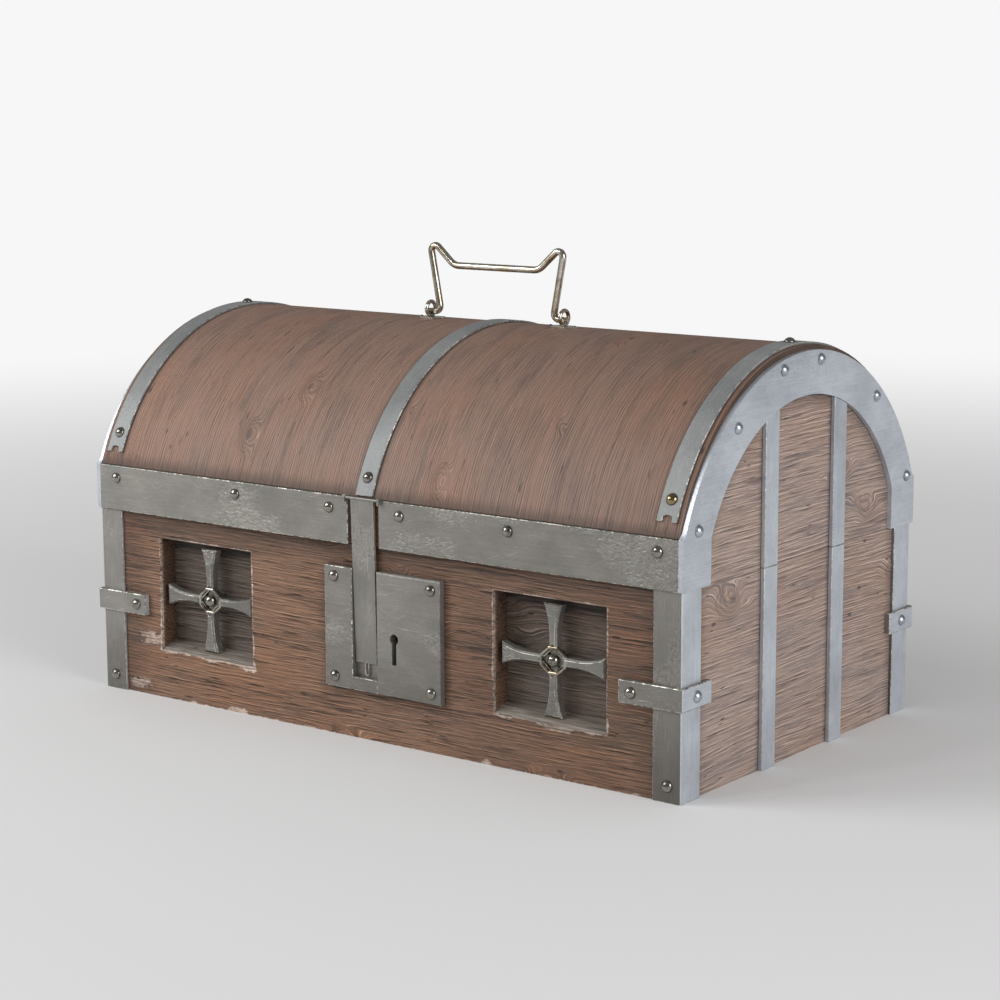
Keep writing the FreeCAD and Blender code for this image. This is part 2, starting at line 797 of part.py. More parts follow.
def keyhole_loop():
    join = "keyhole_height - sqrt(keyhole_radius ^ 2 - keyhole_half ^ 2)"
    left = "keyhole_place - keyhole_half"
    right = "keyhole_place + keyhole_half"
    return [(left, "keyhole_bottom"), (right, "keyhole_bottom"),
            (right, join, "keyhole_radius", -1, "large"), (left, join)]


def make_lock_case():
    """An iron tray let into the board: face plate, rim, stump and guides for the bolt."""
    face = box_loop("-faceplate_left", "case_right", "faceplate_bottom", "faceplate_top")
    body = plate("lock_case_body", "front", 1, "half_depth - case_iron", "case_iron", [face])
    rim = [box_loop("-case_left", "case_right", "case_bottom", "case_top"),
           box_loop("-case_left + case_iron", "case_right - case_iron", "case_bottom + case_iron",
                    "case_top - case_iron")]
    sketch = sketch_on(body, "front", "half_depth - case_depth")
    for corners in rim:
        add_loop(sketch, corners)
    pad(body, sketch, "case_depth - case_iron / 2")
    sketch = sketch_on(body, "front", "bolt_back - 2 * case_iron")
    add_circle(sketch, "stump_place", "(bolt_bottom + bolt_top) / 2", "stump_radius")
    reach = "half_depth - case_iron / 2 - bolt_back + 2 * case_iron"
    pad(body, sketch, reach)
    below = box_loop("guide_left", "guide_right",
                     "bolt_bottom - guide_fit - case_iron", "bolt_bottom - guide_fit")
    above = box_loop("guide_left", "guide_right", "bolt_top + guide_fit", "bolt_top + guide_fit + case_iron")
    for guide in (below, above):
        pad(body, add_loop(sketch_on(body, "front", "bolt_back - 2 * case_iron"), guide), reach)
    slot = box_loop("-staple_slot_half", "staple_slot_half", "staple_slot_bottom", "faceplate_top + 1")
    pocket(body, add_loop(sketch_on(body, "front", "half_depth"), slot), "staple_groove")
    pocket(body, add_loop(sketch_on(body, "front", "half_depth"), keyhole_loop()), "case_iron")
    part(body, "lock_case")


def make_lock_bolt():
    """The sliding bolt: a talon notch for the key's bit, and a slot that rides on the stump."""
    outline = [("bolt_tip", "bolt_bottom"), ("talon_left", "bolt_bottom"),
               ("talon_left", "bolt_bottom + talon_depth"), ("talon_right", "bolt_bottom + talon_depth"),
               ("talon_right", "bolt_bottom"), ("bolt_tail", "bolt_bottom"), ("bolt_tail", "bolt_top"),
               ("bolt_tip", "bolt_top")]
    middle = "(bolt_bottom + bolt_top) / 2"
    half = "(stump_radius + stump_fit)"
    curve = half + " * round_end"
    spare = half + " * (1 - round_end + sqrt(round_end ^ 2 - 1))"
    near = "stump_place - " + spare
    far = "stump_place + bolt_throw + " + spare
    slot = [(near, middle + " - " + half), (far, middle + " - " + half, curve, -1),
            (far, middle + " + " + half), (near, middle + " + " + half, curve, -1)]
    body = plate("lock_bolt_body", "front", 1, "bolt_back", "bolt_front - bolt_back", [outline, slot])
    part(body, "lock_bolt")


def make_lock_spring():
    """A bowed leaf under the case's roof that bears on the bolt."""
    roof = "case_top - case_iron"
    sag = "(case_top - case_iron - bolt_top - guide_fit)"
    outer = "(spring_half ^ 2 + %s ^ 2) / (2 * %s)" % (sag, sag)
    inner = "(%s - spring_iron)" % outer
    low = "(%s - spring_iron)" % sag
    inner_half = "sqrt(%s ^ 2 - (%s - %s) ^ 2)" % (inner, inner, low)
    outline = [("spring_place - spring_half", roof, outer, -1), ("spring_place + spring_half", roof),
               ("spring_place + " + inner_half, roof, inner, 1), ("spring_place - " + inner_half, roof)]
    body = plate("lock_spring_body", "front", 1, "bolt_back", "bolt_front - bolt_back - 1", [outline])
    part(body, "lock_spring")


# ---------------------------------------------------------------- lid

def dome_edge(radius, height):
    return "sqrt((%s) ^ 2 - (%s - dome_centre) ^ 2)" % (radius, height)


def make_lid_shell(*holes):
    outer = dome_edge("dome_radius", "rim_top")
    inside = "dome_radius - dome_wall"
    inner = dome_edge(inside, "rim_top")
    outline = [(outer, "rim_top", "dome_radius", -1), ("-" + outer, "rim_top"),
               ("-" + inner, "rim_top", inside, 1), (inner, "rim_top")]
    body = plate("lid_shell_blank", "side", 1, "-half_length", "2 * half_length", [outline])
    less("lid_shell", body, *holes)


def make_lid_ends(holes):
    """Half-round boards that fit between the rails and under the bent top."""
    radius = "(dome_radius - dome_wall - strap_bed)"
    half = "(half_depth - rail_wall)"
    spring = "dome_centre + sqrt(%s ^ 2 - %s ^ 2)" % (radius, half)
    outline = [("-" + half, "lid_bottom"), (half, "lid_bottom"), (half, spring, radius, -1),
               ("-" + half, spring)]
    for side, name in ((-1, "left_lid_end"), (1, "right_lid_end")):
        body = plate(name + "_blank", "side", side, "half_length - lunette_wall", "lunette_wall", [outline])
        less(name, body, holes)


def make_rails(holes):
    outline = box_loop("-half_length", "half_length", "lid_bottom", "rim_top")
    for side, name in ((1, "lid_front_rail"), (-1, "lid_back_rail")):
        body = plate(name + "_blank", "front", side, "half_depth - rail_wall", "rail_wall", [outline])
        less(name, body, holes)


def make_bands(holes):
    front_left = box_loop("-half_length", "-slot_left", "lid_bottom", "band_top")
    front_right = box_loop("slot_right", "half_length", "lid_bottom", "band_top")
    back = box_loop("-half_length", "half_length", "lid_bottom", "band_top")
    for name, side, outline in (("left_front_band", 1, front_left), ("right_front_band", 1, front_right),
                                ("back_band", -1, back)):
        less(name, plate(name + "_blank", "front", side, "half_depth", "band_iron", [outline]), holes)


def make_arch_plates(holes):
    """Horseshoe plates: straight legs with a shouldered foot, under a half-round crown."""
    foot = "sqrt(arch_outer ^ 2 - (arch_foot - arch_centre) ^ 2)"
    leg = "(half_depth + band_iron)"
    bend = "arch_centre + sqrt(arch_inner ^ 2 - arch_leg_inside ^ 2)"
    outline = [("-" + leg, "lid_bottom"), ("-arch_leg_inside", "lid_bottom"),
               ("-arch_leg_inside", bend, "arch_inner", 1), ("arch_leg_inside", bend),
               ("arch_leg_inside", "lid_bottom"), (leg, "lid_bottom"), (leg, "arch_shoulder"),
               (foot, "arch_foot", "arch_outer", -1), ("-" + foot, "arch_foot"), ("-" + leg, "arch_shoulder")]
    for side, name in ((-1, "left_arch_plate"), (1, "right_arch_plate")):
        less(name, plate(name + "_blank", "side", side, "half_length", "arch_iron", [outline]), holes)


def make_dome_straps(holes):
    """Thin straps bent over the dome; the two end ones are forked at both tips."""
    inner = "(dome_radius + strap_bed)"
    outer = "(dome_radius + strap_bed + dome_strap_iron)"
    for place, tip, name in (("-dome_strap_place", "end_strap_tip", "left_dome_strap"),
                             ("0", "centre_strap_tip", "centre_dome_strap"),
                             ("dome_strap_place", "end_strap_tip", "right_dome_strap")):
        outline = [(dome_edge(outer, tip), tip, outer, -1), ("-" + dome_edge(outer, tip), tip),
                   ("-" + dome_edge(inner, tip), tip, inner, 1), (dome_edge(inner, tip), tip)]
        body = plate(name + "_blank", "side", 1, place + " - dome_strap_width / 2", "dome_strap_width",
                     [outline])
        if tip == "end_strap_tip":
            bottom = tip + " - fork_depth"
            top = tip + " + fork_depth"
            notch = [(place + " - fork_half", bottom), (place + " + fork_half", bottom),
                     (place + " + fork_half", top, "2 * fork_half", -1), (place + " - fork_half", top)]
            cut = add_loop(sketch_on(body, "front", "2 * dome_radius"), notch)
            pocket(body, cut, "4 * dome_radius")
        less(name, body, holes)


# ---------------------------------------------------------------- hasp

def hasp_frame(body):
    """Put a body's origin on the hasp's hinge axis, leaning in as the hasp hangs."""
    drive(body, "Placement.Base.y", "-hasp_axis_out")
    drive(body, "Placement.Base.z", "hasp_axis_up")
    body.Placement = FreeCAD.Placement(V(), FreeCAD.Rotation(V(1, 0, 0), value("hasp_lean")))
    drive(body, "Placement.Rotation.Angle", "hasp_lean")


def make_hasp():
    """A tapered strap under a round T-head, with a staple on its back for the bolt."""
    body = new_body("hasp_body")
    hasp_frame(body)
    strap = [("-hasp_half_end", "-hasp_length"), ("hasp_half_end", "-hasp_length"),
             ("hasp_half_top", "trunnion_radius / 2"), ("-hasp_half_top", "trunnion_radius / 2")]
    sketch = add_loop(sketch_on(body, "front", "hasp_proud - hasp_iron"), strap)
    pad(body, sketch, "hasp_iron")
    head = add_circle(sketch_on(body, "side", "-trunnion_half"), "0", "0", "trunnion_radius")
    pad(body, head, "2 * trunnion_half")
    back = "hasp_iron - hasp_proud"
    sketch = sketch_on(body, "side", "-staple_half")
    add_loop(sketch, box_loop(back + " - hasp_iron / 2", "staple_reach", "-staple_bottom", "-staple_top"))
    add_loop(sketch, box_loop(back + " + staple_stand", "staple_reach - staple_wall",
                              "-staple_bottom + staple_wall", "-staple_top - staple_wall"))
    pad(body, sketch, "2 * staple_half")
    part(body, "hasp")


def make_hasp_pull():
    """A small wire loop on the hasp's lower edge, to lift it by."""
    body = new_body("hasp_pull_body")
    hasp_frame(body)
    left = "pull_place - pull_half"
    right = "pull_place + pull_half"
    end = "-hasp_length"
    drop = "-hasp_length - pull_drop + pull_radius"
    path = sketch_on(body, "front", "hasp_proud - hasp_iron / 2")
    add_route(path, [(left, end), (left, drop, "pull_bend"), (right, drop, "pull_bend"), (right, end)])
    ring = sketch_on(body, "plan", end)
    add_polygon(ring, left, "hasp_iron / 2 - hasp_proud", "pull_radius", PULL_FACETS)
    sweep(body, ring, path)
    part(body, "hasp_pull")


def make_hasp_keepers():
    """Small eyes on the bands that hold the T-head's ends."""
    keepers = []
    for side in (-1, 1):
        near = "keeper_inside"
        outline = box_loop("-keeper_front", "-half_depth - band_iron", "keeper_bottom", "keeper_top")
        body = plate("keeper", "side", side, near, "keeper_iron", [outline])
        room = "(trunnion_radius + trunnion_fit)"
        notch = box_loop("-hasp_axis_out - " + room, "-hasp_axis_out + " + room,
                         "hasp_axis_up - " + room, "hasp_axis_up + " + room)
        pocket(body, add_loop(sketch_on(body, "side", "half_length"), notch), "2 * half_length")
        keepers.append(body)
    group("hasp_keepers", keepers)


def sweep(body, profile, path):
    pipe = body.newObject("PartDesign::AdditivePipe", "wire")
    pipe.Profile = profile
    pipe.Spine = (path, ["Edge%d" % i for i in range(1, len(path.Shape.Edges) + 1)])
    doc.recompute()
    return pipe


# ---------------------------------------------------------------- bail

def make_bail():
    """A wire handle: feet turned outward and drawn down to pins, legs that lean out to round
    peaks, and a straight grip slung between them."""
    body = new_body("bail_body")
    drive(body, "Placement.Base.z", "pin_height")
    start = "(bail_foot + bail_foot_run)"
    half = [(start, "0"), ("bail_foot", "0", "bail_foot_bend"),
            ("bail_peak_out", "bail_peak_up", "bail_peak_bend"), ("grip_half", "grip_up", "grip_bend")]
    left = [("-" + corner[0],) + corner[1:] for corner in half]
    path = add_route(sketch_on(body, "front"), left + half[::-1])
    doc.recompute()
    profile = add_polygon(sketch_on(body, "side", "-" + start), "0", "0", "wire_radius", WIRE_FACETS)
    doc.recompute()
    sweep(body, profile, path)
    for side in ("", "-"):
        rings = []
        for place, radius in ((start, "wire_radius"), ("(%s + taper_length)" % start, "pin_radius"),
                              ("pin_end", "pin_radius")):
            ring = sketch_on(body, "side", side + place)
            rings.append(add_polygon(ring, "0", "0", radius, WIRE_FACETS))
        doc.recompute()
        foot = body.newObject("PartDesign::AdditiveLoft", "pin")
        foot.Profile = rings[0]
        foot.Sections = rings[1:]
        foot.Ruled = True
        doc.recompute()
    part(body, "handle")


def eye_shank(name, side, radius, low, height):
    """An upright faceted bar on an eye's own line."""
    bar = doc.addObject("Part::Prism", name)
    bar.Polygon = WIRE_FACETS
    drive(bar, "Circumradius", radius)
    drive(bar, "Height", height)
    drive(bar, "Placement.Base.x", "%d * eye_place" % side)
    drive(bar, "Placement.Base.z", low)
    return bar


def make_eyes():
    """Two screw eyes: a wire ring on a short shank through the plate and the dome."""
    eyes = []
    for side in (-1, 1):
        section = doc.addObject("Part::RegularPolygon", "eye_section")
        section.Polygon = EYE_FACETS
        drive(section, "Circumradius", "eye_wire")
        section.Placement = FreeCAD.Placement(V(), FreeCAD.Rotation(V(1, 0, 0), 90))
        drive(section, "Placement.Base.x", "%d * eye_place" % side)
        drive(section, "Placement.Base.z", "eye_height + eye_ring")
        ring = doc.addObject("Part::Revolution", "eye_ring")
        ring.Source = section
        ring.Axis = V(1, 0, 0)
        drive(ring, "Base.z", "eye_height")
        ring.Angle = 360
        ring.Solid = True
        eye = doc.addObject("Part::Fuse", "eye")
        eye.Base = ring
        eye.Tool = eye_shank("eye_shank", side, "eye_wire", "eye_shank_end",
                             "eye_height - eye_ring - eye_shank_end")
        eyes.append(eye)
    group("handle_eyes", eyes)


def make_eye_holes():
    """Where the eyes' shanks go through their plates and the dome."""
    holes = doc.addObject("Part::Compound", "eye_holes")
    holes.Links = [eye_shank("eye_hole", side, "eye_hole", "eye_shank_end - nail_fit",
                             "dome_wall + 3 * eye_plate_iron") for side in (-1, 1)]
    return holes


def make_eye_plates(*holes):
    plates = []
    for side in (-1, 1):
        middle = "%d * eye_plate_place" % side
        outline = [(middle + " - eye_plate_reach", "0")]
        for hand, turn in ((-1, -1), (1, -1), (1, 0), (1, 1), (-1, 1)):
            reach = "eye_plate_half" if turn else "eye_plate_reach"
            outline.append(("%s + %d * %s" % (middle, hand, reach), "%d * eye_plate_half" % turn))
        plates.append(plate("eye_plate", "plan", 1, "dome_centre + dome_radius", "eye_plate_iron", [outline]))
    both = doc.addObject("Part::Compound", "eye_plates")
    both.Links = plates
    less("handle_eye_plates", both, *holes)


# ---------------------------------------------------------------- hinges

def hinge_bore(body):
    bore = add_circle(sketch_on(body, "side", "half_length"), "hinge_axis_out", "hinge_axis_up",
                      "hinge_pin + hinge_fit")
    pocket(body, bore, "2 * half_length")


def make_body_leaf(side, name, holes):
    """A leaf on the back board whose top turns out to one middle knuckle."""
    leaf = "half_depth + leaf_iron"
    base = "hinge_axis_up - knuckle_radius"
    web = "hinge_axis_up - web_drop"
    meet = "hinge_axis_out - sqrt(knuckle_radius ^ 2 - web_drop ^ 2)"
    outline = [("half_depth", "leaf_bottom"), (leaf, "leaf_bottom"), (leaf, base),
               ("hinge_axis_out", base, "knuckle_radius", -1, "large"), (meet, web), ("half_depth", web)]
    middle = "%d * hinge_place" % side
    body = plate(name + "_blank", "side", 1, middle + " - hinge_half", "2 * hinge_half", [outline])
    for hand in ("-", "+"):
        near = "%s %s (knuckle_half)" % (middle, hand)
        far = "%s %s (hinge_half + 1)" % (middle, hand)
        room = box_loop(near, far, leaf, "hinge_axis_out + 2 * knuckle_radius")
        pocket(body, add_loop(sketch_on(body, "plan", "leaf_top"), room), "leaf_top - leaf_bottom")
    hinge_bore(body)
    less(name, body, holes)


def make_lid_leaf(side, name, holes):
    """A leaf on the back band with two knuckles, each with a lug that stops the open lid."""
    band = "half_depth + band_iron"
    leaf = band + " + lid_leaf_iron"
    inset = "(hinge_axis_out - (%s))" % leaf
    join = "hinge_axis_up + sqrt(knuckle_radius ^ 2 - %s ^ 2)" % inset
    outline = [(band, "leaf_top"), (leaf, "leaf_top"), (leaf, join, "knuckle_radius", 1, "large"),
               ("hinge_axis_out - knuckle_radius", "hinge_axis_up"), (band, "hinge_axis_up + seat_gap")]
    middle = "%d * hinge_place" % side
    body = plate(name + "_blank", "side", 1, middle + " - hinge_half", "2 * hinge_half", [outline])

    def along(reach, across):
        out = "hinge_axis_out + (%s) * cos(lug_angle) + (%s) * sin(lug_angle)" % (reach, across)
        up = "hinge_axis_up - (%s) * sin(lug_angle) + (%s) * cos(lug_angle)" % (reach, across)
        return (out, up)
    root = "hinge_pin + lug_half"
    lug = [along(root, "-lug_half"), along("lug_reach", "-lug_half"), along("lug_reach", "lug_half"),
           along(root, "lug_half")]
    pad(body, add_loop(sketch_on(body, "side", middle + " - hinge_half"), lug), "2 * hinge_half")
    room = box_loop(middle + " - knuckle_half - knuckle_gap", middle + " + knuckle_half + knuckle_gap",
                    "hinge_axis_up - 2 * knuckle_radius", "hinge_axis_up + knuckle_radius + 2 * knuckle_gap")
    pocket(body, add_loop(sketch_on(body, "front", "-half_depth"), room), "6 * knuckle_radius")
    hinge_bore(body)
    less(name, body, holes)


def make_hinge_pins():
    pins = []
    for side in (-1, 1):
        body = new_body("hinge_pin_body")
        middle = "%d * hinge_place" % side
        section = sketch_on(body, "side", middle + " - hinge_half - seat_gap")
        add_circle(section, "hinge_axis_out", "hinge_axis_up", "hinge_pin")
        pad(body, section, "2 * (hinge_half + seat_gap)")
        pins.append(body)
    group("hinge_pins", pins)


# ---------------------------------------------------------------- the chest

def build():
    fill_sheet()
    nail = nail_master("nail", "nail_radius", "nail_rise", "nail_shank", "nail_length")
    pin = nail_master("eye_pin", "pin_head_radius", "pin_head_rise", "pin_shank", "pin_length")
    body_holes = nail_holes("body_nail_holes", body_nail_places(), "nail_shank", "nail_length")
    lid_holes = nail_holes("lid_nail_holes", lid_nail_places(), "nail_shank", "nail_length")
    rivet = nail_master("rivet", "rivet_radius", "rivet_rise", "rivet_shank", "rivet_length")
    rivet_holes = nail_holes("rivet_holes", rivet_places(), "rivet_shank", "rivet_length")
    pin_holes = nail_holes("eye_pin_holes", eye_pin_places(), "pin_shank", "pin_length")
    eye_holes = make_eye_holes()

    make_front_board(body_holes)
    make_walls(body_holes)
    make_window_backs(rivet_holes)
    make_corner_straps(body_holes)
    make_corner_brackets(body_holes)
    make_battens()
    make_crosses(rivet_holes)
    place_nails("cross_rivets", rivet, rivet_places())
    make_lock_plates(body_holes)
    make_lock_case()
    make_lock_bolt()
    make_lock_spring()
    place_nails("body_nails", nail, body_nail_places())

    make_lid_shell(lid_holes, pin_holes, eye_holes)
    make_lid_ends(lid_holes)
    make_rails(lid_holes)
    make_bands(lid_holes)
    make_arch_plates(lid_holes)
    make_dome_straps(lid_holes)
    make_hasp()
    make_hasp_pull()
    make_hasp_keepers()
    make_bail()
    make_eyes()
    make_eye_plates(pin_holes, eye_holes)
    place_nails("lid_nails", nail, lid_nail_places())
    place_nails("eye_plate_pins", pin, eye_pin_places())

    for side, hand in ((-1, "left"), (1, "right")):
        make_body_leaf(side, hand + "_body_hinge_leaf", body_holes)
        make_lid_leaf(side, hand + "_lid_hinge_leaf", lid_holes)
    make_hinge_pins()
    doc.recompute()


def check():
    """Stop if any object failed, or a part is empty or not valid."""
    for thing in doc.Objects:
        if "Invalid" in thing.State or "Error" in thing.State:
            raise RuntimeError("%s failed: %s" % (thing.Label, thing.State))
    for thing in parts:
        if thing.Shape.isNull() or not thing.Shape.isValid() or not thing.Shape.Solids:
            raise RuntimeError("%s has no valid shape" % thing.Label)


def export():
    os.makedirs("parts", exist_ok=True)
    for thing in parts:
        thing.Shape.exportStep(os.path.join("parts", thing.Label + ".step"))
        print("%-28s %2d solid(s) %10.0f mm3" % (thing.Label, len(thing.Shape.Solids), thing.Shape.Volume))


build()
check()
export()
print(len(parts), "nodes")
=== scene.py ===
import json
import math
import random

import bmesh
import bpy
from bpy.props import FloatProperty, FloatVectorProperty, PointerProperty
from mathutils import Matrix, Vector

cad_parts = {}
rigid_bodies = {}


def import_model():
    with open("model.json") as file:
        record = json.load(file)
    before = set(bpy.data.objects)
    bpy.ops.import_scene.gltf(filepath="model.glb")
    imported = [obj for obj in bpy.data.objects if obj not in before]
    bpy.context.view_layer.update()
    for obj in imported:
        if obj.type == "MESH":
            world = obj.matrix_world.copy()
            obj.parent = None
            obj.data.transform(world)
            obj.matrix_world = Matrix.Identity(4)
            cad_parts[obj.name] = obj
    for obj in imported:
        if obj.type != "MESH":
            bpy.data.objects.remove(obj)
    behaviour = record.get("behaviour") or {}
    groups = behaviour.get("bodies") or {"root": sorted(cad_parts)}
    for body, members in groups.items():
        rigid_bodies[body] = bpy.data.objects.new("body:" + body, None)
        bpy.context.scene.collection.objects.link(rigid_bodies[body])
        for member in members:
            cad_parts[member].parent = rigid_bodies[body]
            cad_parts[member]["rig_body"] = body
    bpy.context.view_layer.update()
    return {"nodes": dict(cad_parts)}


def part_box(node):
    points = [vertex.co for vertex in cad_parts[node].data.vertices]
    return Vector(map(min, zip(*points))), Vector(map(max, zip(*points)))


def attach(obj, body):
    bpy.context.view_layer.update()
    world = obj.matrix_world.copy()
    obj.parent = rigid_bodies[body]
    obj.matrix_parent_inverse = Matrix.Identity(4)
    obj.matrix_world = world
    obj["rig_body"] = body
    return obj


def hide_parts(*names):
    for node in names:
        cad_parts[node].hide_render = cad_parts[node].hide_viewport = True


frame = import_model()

bl_info = {
    "name": "Domed Strong Chest",
    "version": (1, 0, 0),
    "blender": (4, 5, 0),
    "location": "3D Viewport > Sidebar > Chest",
    "description": "Dresses a domed, iron-bound chest in worn wood, wrought iron and bright wire",
    "category": "Object",
}

MM = 0.001
SIDES = ("left", "right")
CORNERS = ("front_left", "front_right", "back_left", "back_right")

# Heights on the chest, in metres.
WINDOW_SILL = 0.039
LOCK_HEIGHT = 0.085
ARCH_CENTRE = 0.1275
WINDOW_HEAD = 0.1306
DOME_CENTRE = 0.132
PARTING = 0.149
BAND_TOP = 0.1855
DOME_TOP = 0.302
HANDLE_PIVOT = 0.30765

# Places along the chest, most of them alike to left and right.
LOCK_PLACE = 0.0175
EYE_PLACE = 0.0655
WINDOW_PLACE = 0.1674
FRONT_IRON_EDGE = 0.2575
STRAP_PLACE = 0.26525
END_INNER_FACE = 0.270
DOME_RIM = 0.2782

# Places across the chest.
FRONT_FACE = -0.1572
BATTEN_PLACE = 0.048
END_IRON_EDGE = 0.137

# Radii, and half widths and heights.
DOME_RADIUS = 0.170
DOME_INNER_RADIUS = 0.164
ARCH_RADIUS = 0.139
WINDOW_HALF = 0.0496
LOCK_HALF_WIDTH = 0.0555
LOCK_HALF_HEIGHT = 0.0465
STRAP_HALF = 0.00825
BATTEN_HALF = 0.009


def tone(code):
    """A colour written as six hex digits, in the linear values that shaders take."""
    def channel(text):
        share = int(text, 16) / 255.0
        return share / 12.92 if share <= 0.04045 else ((share + 0.055) / 1.055) ** 2.4
    return tuple(channel(code[i:i + 2]) for i in (0, 2, 4))


# ------------------------ settings

def shade_of(name, code, about):
    return FloatVectorProperty(name=name, description=about, default=tone(code), min=0.0, max=1.0,
                               subtype="COLOR")


class ChestWood(bpy.types.PropertyGroup):
    bare: shade_of("Bare wood", "ecd3c2", "Fresh wood where an edge has chipped")
    edge: FloatProperty(name="Board edge", description="Rounding of the boards' edges",
                        default=0.7 * MM, min=0.1 * MM, max=3 * MM, unit="LENGTH", subtype="DISTANCE")


# Each kind of wood has four colours, in this order. The dark one also serves for painted shade.
WOOD_SHADES = (("main", "Main colour"), ("warm", "Redder patches"), ("grey", "Weathered streaks"),
               ("dark", "Grain and gaps"))
for part, whose, codes in (
        ("dome", "bent top", ("987a6b", "9e7863", "6f6057", "513e33")),
        ("front", "front and back", ("9a765e", "a27558", "66554a", "3c2a1f")),
        ("end", "ends", ("b09b90", "ae9283", "857b7c", "5a4e4b")),
        # The inner boards' colours are darker, partly their own tone and partly painted shade of the
        # window recesses.
        ("inside", "inner boards", ("6e6259", "6f5b4d", "59514b", "3d342d")),
        # The sills' colours are paler and greyer, partly dust and partly painted light on their upward
        # faces.
        ("sill", "windows' sills", ("8b837a", "84776b", "78726c", "4b453f"))):
    for (kind, about), code in zip(WOOD_SHADES, codes):
        ChestWood.__annotations__[part + "_" + kind] = shade_of(
            "%s, %s" % (part.capitalize(), kind), code, "%s of the %s" % (about, whose))


class ChestIron(bpy.types.PropertyGroup):
    strap: shade_of("Strap iron", "97948e", "Main colour of the front ironwork")
    # Painted light: the end iron is the front iron made paler and bluer, as lit from the side.
    end: shade_of("End iron", "d0d6df", "Main colour of the ironwork on the ends")
    top: shade_of("Dome straps", "949696", "Main colour of the straps over the bent top")
    worn: shade_of("Worn edge", "e6e3db", "Bright metal on rubbed edges")
    dark: shade_of("Dark iron", "4a4742", "Pits and the lock's inner works")
    head: shade_of("Nail heads", "98938a", "Polished nail heads")
    brass: shade_of("Brass heads", "9a8660", "The odd heads of brass")
    wire: shade_of("Bright wire", "d6cfc2", "The handle and its eyes")
    # The tarnish colour also stands for the wood that the wire mirrors: partly painted reflection.
    tarnish: shade_of("Tarnish", "5c4a35", "Brown film on the bright wire")
    edge: FloatProperty(name="Iron edge", description="Width of the rubbed edge on flat iron",
                        default=0.5 * MM, min=0.1 * MM, max=2 * MM, unit="LENGTH", subtype="DISTANCE")


class ChestStage(bpy.types.PropertyGroup):
    floor: FloatVectorProperty(name="Floor", description="Colour of the studio floor",
                               default=(0.80, 0.80, 0.80), min=0.0, max=1.0, subtype="COLOR")
    front: FloatProperty(name="Front light", description="Power of the soft lamp before the chest",
                         default=27.0, min=0.0, unit="POWER")
    side: FloatProperty(name="Side light", description="Power of the soft lamp at the chest's right end",
                        default=34.0, min=0.0, unit="POWER")
    accent: FloatProperty(name="Accent light",
                          description="Power of the small lamp that picks out polished iron",
                          default=6.0, min=0.0, unit="POWER")
    sky: FloatProperty(name="Sky", description="Strength of the even light from all round",
                       default=0.38, min=0.0)
    mirror: FloatProperty(name="Mirrored sky",
                          description="Brightness of the sky as polished iron shows it",
                          default=0.22, min=0.0)


# ------------------------ shader arithmetic

def maths(operation):
    """A method that puts a Math node on a value, or on it and another."""
    def put(value, *others):
        return value.work(operation, value, *others)
    return put


class Wire:
    """A shader socket that can be used in sums."""

    def __init__(self, paint, socket):
        self.paint = paint
        self.socket = socket

    def work(self, operation, *values):
        return self.paint.node("ShaderNodeMath", {"operation": operation}, dict(enumerate(values)))

    __add__ = __radd__ = maths("ADD")
    __mul__ = __rmul__ = maths("MULTIPLY")
    __sub__ = maths("SUBTRACT")
    __truediv__ = maths("DIVIDE")
    __pow__ = maths("POWER")
    __abs__ = maths("ABSOLUTE")
    sine = maths("SINE")
    above = maths("MAXIMUM")
    below = maths("MINIMUM")

    def __rsub__(self, other):
        return self.work("SUBTRACT", other, self)

    def step(self, low, high, start=0.0, end=1.0):
        """A soft step from start to end as this value goes from low to high."""
        return self.paint.node("ShaderNodeMapRange", {"interpolation_type": "SMOOTHSTEP"},
                               {"Value": self, "From Min": low, "From Max": high,
                                "To Min": start, "To Max": end})


